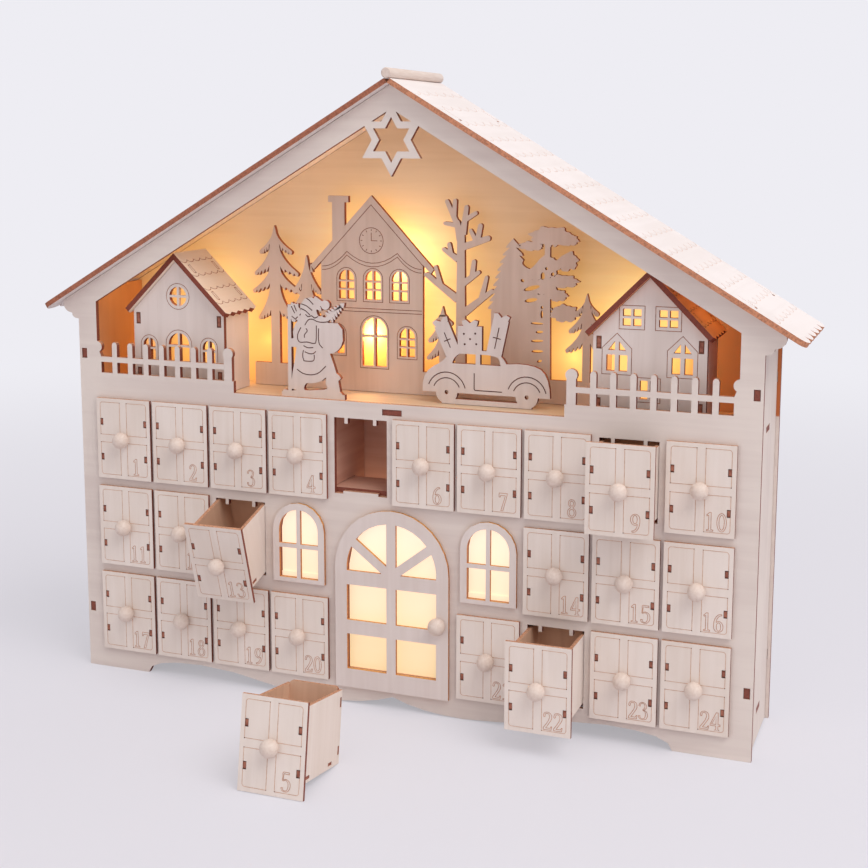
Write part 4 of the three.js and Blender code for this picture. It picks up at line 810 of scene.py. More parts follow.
def ball(x, y, z, radius, flat_at, around=32, along=16):
    """A ball with a flat seat: a half circle of angle t from the seat to the tip, carried round its axis."""
    t = np.linspace(np.arccos(flat_at / radius), np.pi, along)[:, None]
    turn = np.linspace(0, 2 * np.pi, around, endpoint=False)[None, :]
    points = np.stack([x + radius * np.sin(t) * np.cos(turn), y + radius * np.cos(t) + 0 * turn,
                       z + radius * np.sin(t) * np.sin(turn)], axis=2).reshape(-1, 3) * mm
    row = np.arange(along - 1)[:, None] * around
    column = np.arange(around)[None, :]
    ahead = (column + 1) % around
    quads = np.stack([row + column, row + around + column, row + around + ahead, row + ahead], axis=2).reshape(-1, 4)
    quads = outward_faces(points, quads).tolist()
    seat = list(range(around))
    return points, quads + [seat if quads[0][0] == 1 else seat[::-1]]

# %% Boards and their finishes
def mesh_solid(piece):
    """Points, faces and finishes of a piece's mesh."""
    mesh = piece.data
    points = np.empty(len(mesh.vertices) * 3)
    mesh.vertices.foreach_get("co", points)
    faces = [list(polygon.vertices) for polygon in mesh.polygons]
    marks = np.empty(len(faces), int)
    mesh.polygons.foreach_get("material_index", marks)
    return points.reshape(-1, 3), faces, marks


def block(x0, x1, y0, y1, z0, z1):
    """A block between two x, two y and two z in millimetres."""
    return box_solid((x0 * mm, y0 * mm, z0 * mm), (x1 * mm, y1 * mm, z1 * mm))


def board_marks(corners, faces, axis, inner_face):
    """7 for the broad face on the drawer's inside, 0 for the other broad face, 1 for an edge."""
    sides = [corners[face] for face in faces]
    flat = np.array([np.ptp(side[:, axis]) < 1e-6 for side in sides])
    place = np.array([side[:, axis].mean() for side in sides])
    inside = np.abs(place - (place[flat].min() if inner_face < 0 else place[flat].max())) < 1e-6
    return np.where(flat & inside, 7, np.where(flat, 0, 1))

# %% Side boards of a drawer
inner = box_half - sheet
pocket = 0.3
back_slot = (box_depth - sheet - 0.4, box_depth - 0.6)
floor_slot = (bottom_board_z + 0.1, bottom_board_z + 1.9)
side_slots = [(*back_slot, 38.0, 43.4), (*back_slot, 12.1, 16.9), (4.6, 9.6, *floor_slot),
              (box_depth - 14.0, box_depth - 9.4, *floor_slot)]
fixed = []
for side in (-1, 1):
    x0, x1 = sorted((side * inner, side * box_half))
    wall = new_piece("wall", *block(x0, x1, 0.02, box_depth, box_bottom, box_top), [])
    cuts = []
    for y0, y1, z0, z1 in side_slots:
        c0, c1 = sorted((side * (box_half - pocket), side * (box_half + 1)))
        cuts.append(block(c0, c1, y0, y1, z0, z1))
    carve(wall, [new_piece("cutter", *join(cuts), [])])
    points, faces, marks = mesh_solid(wall)
    middles, normals = face_data(wall.data)
    deep = np.abs(np.abs(middles[:, 0]) - (box_half - pocket) * mm) < 0.02 * mm
    inward = normals[:, 0] * side < -0.9
    marks = np.where(deep, 4, np.where(inward, 7, np.where(np.abs(normals[:, 0]) > 0.9, 0, 1)))
    fixed.append((points, faces, marks))
    bpy.data.objects.remove(wall)
    for z in slot_heights:
        tab = block(side * (box_half - 1) - 0.85, side * (box_half - 1) + 0.85, -sheet + 0.25, 0.01,
                    z - slot_height / 2 + 0.55, z + slot_height / 2 - 0.55)
        fixed.append((*tab, np.full(6, 4)))
print("side boards with", len(side_slots), "dark slots each")

# %% Back, bottom and knob of a drawer
inset = 1.0
back_half = box_half - inset
back_line = np.vstack([[(-back_half, box_bottom), (back_half, box_bottom), (back_half, box_top - 1.1)],
                       [(back_half - 1.05, box_top - 1.1)],
                       arc(back_half - 3, back_top - 2, 2, 0, 90, 4), arc(-back_half + 3, back_top - 2, 2, 90, 180, 4),
                       [(-back_half + 1.05, box_top - 1.1), (-back_half, box_top - 1.1)]])
back_board = plate_solid(back_line, box_depth - sheet - 0.02, box_depth - 0.02)
fixed.append((*back_board, board_marks(*back_board, 1, -1)))
floor_board = block(-inner - 0.5, inner + 0.5, -0.01, box_depth - sheet, bottom_board_z, bottom_board_z + sheet)
fixed.append((*floor_board, board_marks(*floor_board, 2, 1)))
knob = ball(0, -sheet - knob_out, front_height / 2, knob_radius, knob_seat)
fixed.append((*knob, np.full(len(knob[1]), 5)))
print("box of", len(fixed), "solids behind each front")

# %% [markdown]
# ## The 24 drawers in their places
# The drawers stand in three rows that leave room for the door and its windows. Most are shut, two are drawn out,
# one hangs tipped over its sill and one stands on the table. A drawer is built upright in its own place and then
# turned and moved, so its grain and its number go with it.

# %% Seats of the drawers
ply, gap, front_below_bay = 3.0, 0.3, 3.8
column_pitch, row_pitch, lowest_front = 40.0, 55.9, 13.3
drawn_out = {9: 18.0, 22: 32.0}
loose_place = (-15.0, -127.5, 0.0)
tip_angle, tipped_out = 16.5, 21.2
seats, number = [], 1
for row in range(3):
    for column in range(10):
        middle = abs(column - 4.5)
        if (row == 1 and middle < 2) or (row == 2 and middle < 1):
            continue
        seats.append((number, (column - 4.5) * column_pitch, lowest_front + (2 - row) * row_pitch))
        number += 1
print(len(seats), "seats")


def turn_x(angle):
    """Rotation about x: y' = y cos a - z sin a, z' = y sin a + z cos a."""
    c, s = math.cos(angle), math.sin(angle)
    return np.array([(1, 0, 0), (0, c, -s), (0, s, c)])


def drawer_seat(number, x, bottom):
    """Turn and place of a drawer: in its bay, drawn out, tipped over its sill, or loose on the table."""
    rise = front_below_bay + ply + gap
    if number == 5:
        return turn_x(-math.atan(rise / box_depth)), np.array(loose_place)
    if number == 13:
        turned_by = turn_x(math.radians(tip_angle))
        pivot = np.array([x, ply + gap, bottom + front_below_bay + ply])
        return turned_by, pivot + turned_by @ np.array([0, -gap - tipped_out - ply - gap, gap - rise])
    return np.eye(3), np.array([x, -gap - drawn_out.get(number, 0.0), bottom])

# %% Every drawer with its number
def make_drawer(number, x, bottom):
    """A drawer as one mesh of many boards, with its local place kept as an attribute for the grain."""
    front = blank.copy()
    front.data = blank.data.copy()
    bpy.context.scene.collection.objects.link(front)
    carve(front, line_cutters(number_lines(number), groove_width, figure_depth, front_face))
    points, faces, _ = mesh_solid(front)
    middles, normals = face_data(front.data)
    depth = (middles[:, 1] + sheet * mm) / mm
    by_slot = np.abs(np.abs(middles[:, 0]) - (box_half - 1) * mm) < 1.1 * mm
    in_slot = by_slot & (np.abs(normals[:, 1]) < 0.5) & (depth > 0.4)
    marks = np.where(np.abs(normals[:, 1]) > 0.9, 0, 1)
    marks[(depth > 0.01) & (depth < pane_depth + 0.01)] = 2
    marks[(depth > pane_depth + 0.01) & (depth < figure_depth + 0.01)] = 6
    marks[(depth > figure_depth + 0.01) & (depth < 0.75) | in_slot] = 3
    bpy.data.objects.remove(front)
    parts = [(points, faces, marks)] + fixed
    corners, all_faces, all_marks, count = [], [], [], 0
    for part_points, part_faces, part_marks in parts:
        corners.append(part_points)
        all_faces += [[index + count for index in face] for face in part_faces]
        all_marks.append(part_marks)
        count += len(part_points)
    local = np.vstack(corners)
    turned_by, place = drawer_seat(number, x, bottom)
    world_points = local @ turned_by.T + (place + (0, front_y / mm, 0)) * mm
    name = f"drawer_{number:02d}"
    piece = new_piece(name + "_detailed", world_points, all_faces, drawer_materials)
    piece.data.polygons.foreach_set("material_index", np.concatenate(all_marks))
    attribute = piece.data.attributes.new("grain_place", "FLOAT_VECTOR", "POINT")
    shifted = local + np.array([0.31, 0.17, 0.23]) * number
    attribute.data.foreach_set("vector", shifted.astype(np.float32).ravel())
    smooth_faces = np.concatenate(all_marks) == 5
    piece.data.polygons.foreach_set("use_smooth", smooth_faces)
    piece.data.update()
    stand_for(piece, name, body=name)
    return piece


drawers = [make_drawer(*seat) for seat in seats]
bpy.data.objects.remove(blank)
for piece in drawers[:1] + drawers[4:5] + drawers[12:13]:
    low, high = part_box(piece.name.replace("_detailed", ""))
    corners = np.array([vertex.co for vertex in piece.data.vertices])
    print(piece.name, "differs from the CAD box by", np.abs(corners.min(0) - low).max().round(5),
          np.abs(corners.max(0) - high).max().round(5))

# %% [markdown]
# ## Roof
# The two roof boards carry rows of engraved scallops that look like shingles, as deep as those cut along the eave.
# A row is one line of half-round bows from the front edge to the back. The tabs of the front and back boards end
# flush in slots, so each slot gets its tab end.

# %% Roof boards
roof_pitch = math.radians(30.5)
roof_line = burnt_line("roof_line", srgb(238, 216, 202), srgb(222, 192, 174))
# The roof veneer is paler than the other boards: painted light on the tops that face the lamp above.
roof_face = face_wood("roof_veneer", "Y", light=srgb(240, 231, 227), deep=srgb(234, 224, 219))
# One scorched edge in two colours: darker on the left roof as painted shade, lighter on the right roof as painted light
# from the lamp on the right.
roof_edges = [edge_wood("roof_edge_left_painted_shade", srgb(206, 152, 118), srgb(170, 104, 76)),
              edge_wood("roof_edge_right_painted_light", srgb(212, 156, 116), srgb(206, 140, 104))]


def scallop_row(along, y0, y1, count, depth):
    """Bows in a row across a board: distance along = start + depth · sin(πs), with s from 0 to 1 in each bow."""
    s = np.linspace(0, 1, 7)[:-1]
    bow = (np.arange(count)[:, None] + s[None, :]).ravel()
    swell = np.tile(depth * np.sin(np.pi * s) ** 0.6, count)
    line = np.column_stack([along + swell, y0 + bow * (y1 - y0) / count])
    return np.vstack([line, [(along, y1)]])


def sloped_face(side, pitch, foot):
    """Face of a roof board: u runs down the slope from the ridge, v runs to the back."""
    along = np.array([side * math.cos(pitch), 0, -math.sin(pitch)])
    outward = np.array([side * math.sin(pitch), 0, math.cos(pitch)])
    return np.array(foot), along, np.array([0, 1.0, 0]), outward

# %% Shingles on both roof boards
roof_y0, roof_y1 = -6.5, 75.0
roof_line_width, roof_line_depth = 0.36, 0.16
shingle_starts, bows_in_row, bow_depth = 15 + 16.7 * np.arange(15), 6, 4.2
roof_slots_x, roof_slots_y = (34.8, 199.5), (1.5, 67.0)
for side, name in ((-1, "roof_panel_left"), (1, "roof_panel_right")):
    ridge = np.array([0, front_y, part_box(name)[1].z + 0.3 * mm * math.sin(roof_pitch)])
    face = sloped_face(side, roof_pitch, ridge)
    origin, _, _, outward = face
    board = merged_copy(name, name + "_shingled")
    middles, normals = face_data(board.data)
    top = (middles @ outward)[(normals @ outward) > 0.99].max()
    origin = origin + outward * (top - origin @ outward)
    face = (origin, *face[1:])
    rows = [(scallop_row(u, roof_y0 + 0.4, roof_y1 - 0.4, bows_in_row, bow_depth), False) for u in shingle_starts]
    carve(board, line_cutters(rows, roof_line_width, roof_line_depth, face))
    finish_board(board, face, roof_line_depth, [roof_face, roof_edges[(side + 1) // 2], roof_line])
    stand_for(board, name)
    ends = []
    for x in roof_slots_x:
        middle = x / math.cos(roof_pitch)
        for y in roof_slots_y:
            for u0, u1, v0 in ((middle - 6.0, middle - 1.0, y - 1.5), (middle - 1.1, middle + 5.7, y - 1.15)):
                flat = np.array([(u0, v0), (u1, v0), (u1, y + 1.5), (u0, y + 1.5)])
                corners = np.vstack([put(face, flat, -1.6), put(face, flat, -0.05)])
                quads = np.array([(0, 3, 2, 1), (4, 5, 6, 7), (0, 1, 5, 4), (1, 2, 6, 5), (2, 3, 7, 6), (3, 0, 4, 7)])
                ends.append((corners, outward_faces(corners, quads)))
    slot_ends = new_piece(name + "_tab_ends", *join(ends), [roof_face])
    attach(slot_ends, "house")
    print(board.name, "with", len(board.data.polygons), "faces")

# %% [markdown]
# ## Ridge rod
# A turned rod lies in the notch between the two roof boards. Its ends are broken with a small round.

# %% Ridge rod
low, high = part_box("ridge_dowel")
rod_radius, rod_half = (high.x - low.x) / 2 / mm, (high.y - low.y) / 2 / mm
edge, around = 0.5, 48
t = np.linspace(0, np.pi / 2, 4)
profile = np.vstack([np.column_stack([rod_radius - edge + edge * np.sin(t), -rod_half + edge - edge * np.cos(t)]),
                     np.column_stack([rod_radius - edge + edge * np.cos(t), rod_half - edge + edge * np.sin(t)])])
turns = np.linspace(0, 2 * np.pi, around, endpoint=False)
centre = np.array((low + high) / 2) / mm
rings = np.stack([centre[0] + profile[:, :1] * np.cos(turns), centre[1] + profile[:, 1:] + 0 * turns,
                  centre[2] + profile[:, :1] * np.sin(turns)], axis=2).reshape(-1, 3) * mm
count = len(profile)
row, column = np.arange(count - 1)[:, None] * around, np.arange(around)[None, :]
ahead = (column + 1) % around
quads = np.stack([row + column, row + around + column, row + around + ahead, row + ahead], axis=2).reshape(-1, 4)
quads = outward_faces(rings, quads)
first, last = list(range(around)), list(range((count - 1) * around, count * around))
ends = [first, last[::-1]] if quads[0][0] != 0 else [first[::-1], last]
rod = new_piece("ridge_rod", rings, quads.tolist() + ends, [turned])
rod.data.polygons.foreach_set("use_smooth", np.arange(len(rod.data.polygons)) < len(quads))
stand_for(rod, "ridge_dowel")
print("ridge rod", round(2 * rod_radius, 2), "mm thick")

# %% [markdown]
# ## Cottages
# Two small cottages stand behind the fences. Lines are engraved round their windows, dark tab ends show at the
# corners, and their roofs carry four rows of small scallops and slots for the walls' tabs. The right cottage has
# pointed windows with thin bars. They are filled and cut again, because a bar is easier to leave than to add.

# %% Cottage finishes and shapes
cottage_line = burnt_line("cottage_line", srgb(186, 126, 96), srgb(150, 92, 68))
cottage_face = face_wood("cottage_veneer", "Z", light=srgb(229, 215, 207), deep=srgb(219, 204, 195))
cottage_edge = edge_wood("cottage_edge", srgb(190, 120, 80), srgb(128, 62, 42))
cottage_floor = scene_floor_z / mm


def upright_face(y):
    """Front face of an upright board at a depth: u is x, v is the height."""
    return (np.array([0, front_y + y * mm, 0]), *unit[1:])


def pocket_boxes(places, width, height, y, depth=0.5):
    """Shallow boxes for tab ends in an upright face."""
    y0, y1 = front_y / mm + y - 2, front_y / mm + y + depth
    return [block(x - width / 2, x + width / 2, y0, y1, z - height / 2, z + height / 2) for x, z in places]


def pointed_line(x, bottom, top, width):
    """Outline of a window with a gable-shaped head."""
    half = width / 2
    return np.array([(x - half, bottom), (x + half, bottom), (x + half, top - half), (x, top), (x - half, top - half)])

# %% Lines round the cottages' windows
cottage_front, cottage_centre = 12.0, 147.4
cottage_line_width, cottage_line_depth = 0.4, 0.3
cottage_tab_x, cottage_tab_heights = 28.4, (225.5, 191.0)
arched_offset, pointed_offset = 21, 18.2
lift = cottage_floor
frames = {"cottage_left": [ellipse(-cottage_centre, 59 + lift, 8.0, 8.0, 28),
                           arch_line(-cottage_centre, 16.4 + lift, 38.2 + lift, 18.2),
                           arch_line(-cottage_centre - arched_offset, 16.4 + lift, 34.2 + lift, 12),
                           arch_line(-cottage_centre + arched_offset, 16.4 + lift, 34.2 + lift, 12)],
          "cottage_right": [square_line(cottage_centre - 17.2, 52.5 + lift, cottage_centre - 3.0, 65.6 + lift),
                            square_line(cottage_centre + 3.0, 52.5 + lift, cottage_centre + 17.2, 65.6 + lift),
                            pointed_line(cottage_centre - pointed_offset, 27 + lift, 50 + lift, 16.6),
                            pointed_line(cottage_centre + pointed_offset, 27 + lift, 50 + lift, 16.6),
                            square_line(cottage_centre - 6.4, 12.4 + lift, cottage_centre + 6.4, 26 + lift)]}
print("cottages with", [len(shapes) for shapes in frames.values()], "framed openings")

# %% Panes of the pointed windows
def recut_pointed_windows(walls, centre_x):
    """Fills both pointed windows and cuts their panes: two upright ones and two three-cornered ones above."""
    board_y = (front_y / mm + cottage_front + 0.005, front_y / mm + cottage_front + 2.995)
    fills, panes = [], []
    for middle in (centre_x - pointed_offset, centre_x + pointed_offset):
        fills.append([(middle - 6.6, 28.4), (middle + 6.6, 28.4), (middle + 6.6, 41.0), (middle, 47.6),
                      (middle - 6.6, 41.0)])
        for s in (-1, 1):
            panes.append([(middle + s * x, z) for x, z in ((1.15, 28.9), (5.9, 28.9), (5.9, 37.9), (1.15, 37.9))])
            panes.append([(middle + s * x, z) for x, z in ((1.1, 40.5), (5.0, 40.5), (1.1, 45.7))])
    carve(walls, [new_piece("fill", *plate_solid(np.array(shape) + (0, lift), *board_y), []) for shape in fills],
          "UNION")
    carve(walls, [new_piece("cutter", *plate_solid(np.array(shape) + (0, lift), board_y[0] - 1, board_y[1] + 1), [])
                  for shape in panes])

# %% Cottage walls
for name, side in (("cottage_left", -1), ("cottage_right", 1)):
    centre_x = side * cottage_centre
    face = upright_face(cottage_front)
    walls = merged_copy(name + "_walls", name + "_walls_engraved")
    tabs = [(centre_x + s * cottage_tab_x, z) for s in (-1, 1) for z in cottage_tab_heights]
    cutters = line_cutters([(line, True) for line in frames[name]], cottage_line_width, cottage_line_depth, face)
    cutters.append(new_piece("cutter", *join(pocket_boxes(tabs, 3.0, 7.2, cottage_front)), []))
    carve(walls, cutters)
    if side > 0:
        recut_pointed_windows(walls, centre_x)
    finish_board(walls, face, cottage_line_depth, [cottage_face, cottage_edge, cottage_line, drawer_dot, tab_end])
    middles, normals = face_data(walls.data)
    below = (middles[:, 1] - front_y) / mm - cottage_front
    near_tab = np.zeros(len(middles), bool)
    for x, z in tabs:
        near_tab |= (np.abs(middles[:, 0] / mm - x) < 1.7) & (np.abs(middles[:, 2] / mm - z) < 3.9)
    marks = np.empty(len(middles), int)
    walls.data.polygons.foreach_get("material_index", marks)
    marks[near_tab & (below > 0.05) & (below < 0.55)] = 3
    marks[(below > 3.2) & (np.abs(normals[:, 0]) > 0.9)] = 0
    walls.data.polygons.foreach_set("material_index", marks)
    stand_for(walls, name + "_walls")
    tab_y = (front_y / mm + cottage_front + 0.1, front_y / mm + cottage_front + 0.48)
    ends = [block(x - 0.9, x + 0.9, *tab_y, z - 2.6, z + 2.6) for x, z in tabs]
    if side < 0:
        bar_y = (front_y / mm + cottage_front + 0.05, front_y / mm + cottage_front + 2.9)
        z = 59 + lift
        ends += [block(centre_x - 0.7, centre_x + 0.7, *bar_y, z - 6.2, z + 6.2),
                 block(centre_x - 6.2, centre_x + 6.2, bar_y[0] + 0.03, bar_y[1] - 0.03, z - 0.7, z + 0.7)]
    trim = new_piece(name + "_tab_ends", *join(ends), [tab_end, cottage_face])
    marks = np.zeros(len(trim.data.polygons), int)
    marks[24:] = 1
    trim.data.polygons.foreach_set("material_index", marks)
    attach(trim, "house")
    print(walls.name, "with", len(walls.data.polygons), "faces")

# %% Cottage roofs
small_line = burnt_line("small_shingle_line", srgb(190, 124, 84), srgb(160, 96, 62))
cottage_roof_face = face_wood("cottage_roof_veneer", "Y", light=srgb(250, 232, 212), deep=srgb(241, 219, 196))
cottage_roof_edge = edge_wood("cottage_roof_edge", srgb(176, 104, 74), srgb(134, 62, 44))
amber_roof_face = face_wood("cottage_roof_in_amber_light", "Y", light=srgb(240, 166, 108), deep=srgb(228, 146, 90))
for name, side, roof_finish in (("cottage_left_roof", -1, cottage_roof_face),
                                ("cottage_right_roof", 1, amber_roof_face)):
    board = merged_copy(name, name + "_shingled")
    ridge_x = side * cottage_centre
    for slope in (-1, 1):
        face = sloped_face(slope, math.radians(45), (ridge_x * mm, front_y, 0))
        outward = face[3]
        middles, normals = face_data(board.data)
        top = (middles @ outward)[(normals @ outward) > 0.99].max()
        origin = np.array([ridge_x * mm, front_y, (top - outward[0] * ridge_x * mm) / outward[2]])
        rows = [(scallop_row(u, 8.3, 46.7, 5, 1.9), False) for u in (6.5, 18.0, 29.5, 41.0)]
        slots = [(square_line(u, y - 1.0, u + 6.4, y + 1.0), True) for u in (10.6, 33.0) for y in (13.5, 42.0)]
        face = (origin, *face[1:])
        carve(board, line_cutters(rows, 0.45, 0.3, face) + line_cutters(slots, 0.5, 0.5, face))
    mesh = board.data
    mesh.materials.clear()
    for material in (roof_finish, cottage_roof_edge, small_line):
        mesh.materials.append(material)
    middles, normals = face_data(mesh)
    marks = np.ones(len(middles), int)
    for slope in (-1, 1):
        outward = np.array([slope * math.sqrt(0.5), 0, math.sqrt(0.5)])
        reach_out = middles @ outward
        along = normals @ outward
        top = reach_out[along > 0.99].max()
        marks[np.abs(along) > 0.99] = 0
        sunk = top - reach_out
        on_slope = slope * (middles[:, 0] - ridge_x * mm) > 1 * mm
        marks[(sunk > 0.01 * mm) & (sunk < 0.55 * mm) & on_slope] = 2
    mesh.polygons.foreach_set("material_index", marks)
    stand_for(board, name)
    print(board.name, "with", len(mesh.polygons), "faces")

# %% [markdown]
# ## Village sheet
# One sheet holds the pines, the tall house, the bare tree and the broad trees. The house carries the most lines: an
# inner roof line, a draped valance, frames round every window, a string course and a clock at three o'clock.

# %% Frames of the tall house's windows
village_face = face_wood("village_veneer", "Z", light=srgb(228, 202, 184), deep=srgb(216, 188, 168))
village_edge = edge_wood("village_edge", srgb(190, 116, 74), srgb(150, 76, 50))
village_line = burnt_line("village_line", srgb(170, 104, 76), srgb(140, 80, 58))
house_middle, wall_half = -35.1, 33.9
upper_windows = [(house_middle + offset, 237.1, 257.8, 13.0) for offset in (-16.7, 1.1, 18.6)]
side_windows = [(house_middle + offset, 202.8, 223.1, 13.0) for offset in (-23.6, 23.6)]
lines = [(arch_line(*window), True) for window in upper_windows + side_windows]
lines.append((arch_line(house_middle + 1.9, 195.9, 228.7, 19.0), True))
print(len(lines), "window frames")

# %% Draped valance
def valance(drop):
    """A draped line in three bows between the walls: z = low + rise · |2s - 1| ** 1.7 in each bow."""
    left, right = house_middle - wall_half + 0.8, house_middle + wall_half - 0.8
    edges = np.array([left, -51.4, -17.8, right])
    ends = np.array([258.2, 267.7, 267.4, 258.2]) - drop
    curves = []
    for k in range(3):
        s = np.linspace(0, 1, 9)[:-1] if k < 2 else np.linspace(0, 1, 9)
        x = edges[k] + (edges[k + 1] - edges[k]) * s
        straight = ends[k] + (ends[k + 1] - ends[k]) * s
        curves.append(np.column_stack([x, straight - (6.6 if k == 1 else 2.4) * 4 * s * (1 - s)]))
    return np.vstack(curves)


lines += [(valance(0), False), (valance(2.2), False)]
for z in (232.9, 230.9):
    lines.append((np.array([(house_middle - wall_half + 0.5, z), (house_middle + wall_half - 0.5, z)]), False))
print(len(lines), "lines with the valance and the string course")

# %% Inner roof line and clock
apex_z, eave_half, eave_z = 302.1, 41.0, 258.5
inner_drop, inner_half = 5.6, 35.5
slope_rise = (apex_z - eave_z) / eave_half
inner_apex = apex_z - inner_drop
inner_foot = inner_apex - slope_rise * inner_half
lines.append((np.array([(house_middle - inner_half, inner_foot), (house_middle, inner_apex),
                        (house_middle + inner_half, inner_foot)]), False))
clock = (house_middle + 0.1, 274.7)
lines.append((ellipse(*clock, 7.9, 7.9, 32), True))
for k in range(12):
    t = math.radians(30 * k)
    lines.append((np.array([(clock[0] + r * math.sin(t), clock[1] + r * math.cos(t)) for r in (5.9, 7.1)]), False))
lines += [(np.array([(clock[0], clock[1] + 5.0), clock, (clock[0] + 4.0, clock[1])]), False)]
print(len(lines), "lines in all")

# %% [markdown]
# ## Trees of the village
# The CAD sheet holds the trees in a plain outline. Here the sheet beside the house is cut away, and the trees are
# drawn again with boughs, needles and leaves. Each kind has a formula for one bough, one tooth or one cloud of
# leaves, which is repeated in other sizes, and a Boolean joins all of them with the sheet.

# %% Shapes of trees
def spruce_line(x, top, tiers, trunk, foot, right=1.0):
    """Outline of a spruce. A bough falls from its neck n at height a to its tip w at height b, with
    x = n + (w - n) · s ** 1.8 and z = a + (b - a) · s, ends in a small hook, and its underside climbs back to the
    trunk in three teeth. The right half is as wide as the left one times a factor."""
    halves = []
    for factor in (1.0, right):
        side, neck, start = [(0.0, top), (0.7, top - 2.0)], 1.0, top - 3.0
        for width, tip, next_neck in tiers:
            width = width * factor
            s = np.linspace(0.15, 1, 6)
            side += list(zip(neck + (width - neck) * s ** 1.8, start + (tip + 1.6 - start) * s))
            side += [(width + 0.4, tip + 0.4), (width - 0.4, tip - 0.8), (width - 1.6, tip - 0.2)]
            for back in np.linspace(0.22, 0.72, 3) * (width - next_neck):
                lift = 4.2 * (back / (width - next_neck)) ** 1.2
                root, under = width - back, tip + lift
                side += [(root, under + 0.7), (root - 0.5, under - 1.3), (root - 1.3, under - 0.5)]
            side += [(next_neck + 0.5, tip + 4.6), (next_neck, tip + 5.6)]
            neck, start = next_neck, tip + 4.4
        halves.append(np.vstack([smooth(side, steps=3), [(trunk, start - 2.0), (trunk, foot)]]))
    return np.vstack([(halves[0] * (-1, 1))[::-1], halves[1][1:]]) + (x, 0)


def toothed_line(x, top, height, width, pitch, foot):
    """Outline of a dense fir: half width = W · (depth / H) ** 0.62, with a rounded tooth every few millimetres."""
    side = [(0.0, top)]
    for depth in np.arange(pitch, height, pitch):
        reach = width * (depth / height) ** 0.62
        side += [(reach + 0.4, top - depth), (reach - 0.2, top - depth - 0.9), (reach - 1.9, top - depth - 0.7)]
    side = smooth(side, steps=3)
    side = np.vstack([side, [(width - 2.2, top - height), (width - 2.2, foot)]])
    return np.vstack([(side * (-1, 1))[::-1], side[1:]]) + (x, 0)

# %% Leaves and branches
def leaf_blob(x, z, rx, rz, phase=0.0):
    """Cloud of leaves: an ellipse whose radius swells by 0.09 sin(7t + p) + 0.06 sin(13t + 2p)."""
    t = np.linspace(0, 2 * np.pi, 72, endpoint=False)
    swell = 1 + 0.09 * np.sin(7 * t + phase) + 0.06 * np.sin(13 * t + 2 * phase)
    return np.stack([x + rx * swell * np.cos(t), z + rz * swell * np.sin(t)], axis=1)


def tilted(points, angle):
    """Points turned about their middle by an angle in degrees."""
    t, middle = math.radians(angle), points.mean(axis=0)
    return (points - middle) @ np.array([(math.cos(t), math.sin(t)), (-math.sin(t), math.cos(t))]) + middle


def limb_line(start, end, wide, narrow):
    """Outline of a branch: two sides that narrow towards a round end."""
    start, end = np.array(start, float), np.array(end, float)
    along = (end - start) / np.linalg.norm(end - start)
    across = np.array([-along[1], along[0]])
    t = np.linspace(np.pi / 2, -np.pi / 2, 7)[:, None]
    cap = end + narrow / 2 * (np.cos(t) * along + np.sin(t) * across)
    return np.vstack([start + across * wide / 2, cap, start - across * wide / 2])

# %% Spruces and firs
village_y, village_back = 52.0, 55.0
strip_top = cottage_floor + 14.5
foot = strip_top - 3.0
trees = [spruce_line(-101.1, 282.5, [(10.2, 265.2, 3.4), (13.8, 251.6, 3.8), (15.2, 240.4, 3.6), (11.4, 223.6, 3.0)],
                     3.0, foot, 1.16),
         spruce_line(-79.1, 264.5, [(9.4, 241.0, 3.2), (11.0, 229.0, 3.0), (11.5, 214.0, 2.6)], 2.6, foot),
         spruce_line(11.6, 236.4, [(6.0, 225.4, 2.0), (9.0, 214.6, 2.4), (9.8, 204.0, 2.4)], 2.2, foot),
         spruce_line(101.2, 247.6, [(6.8, 235.2, 2.2), (10.4, 224.6, 2.8), (12.2, 213.0, 2.4)], 2.3, foot),
         toothed_line(55.8, 278.3, 44.0, 15.6, 4.6, foot),
         np.array([(58.0, foot), (79.2, foot), (78.6, 246.0), (60.0, 246.0)]),
         np.array([(75.6, foot), (79.6, foot), (78.9, 240.0), (78.4, 279.0), (75.4, 279.0), (75.2, 240.0)])]
print(len(trees), "shapes of conifers and trunks")

# %% Broad tree
blobs = [(79.0, 280.0, 12.8, 5.7, 0.4), (66.9, 274.3, 7.2, 2.7, 1.1), (90.0, 278.2, 5.4, 3.0, 2.0),
         (87.9, 266.2, 7.2, 5.8, 0.2), (76.3, 262.4, 7.6, 6.4, 1.7), (66.9, 259.3, 8.2, 5.4, 2.6),
         (86.4, 254.2, 9.2, 3.7, 0.9), (75.7, 250.8, 6.6, 5.0, 3.1), (83.0, 245.8, 6.2, 3.4, 1.4),
         (87.6, 235.4, 8.4, 5.0, 2.3), (66.0, 250.0, 7.0, 5.0, 0.7)]
trees += [leaf_blob(*blob) for blob in blobs]
print(len(blobs), "clouds of leaves")

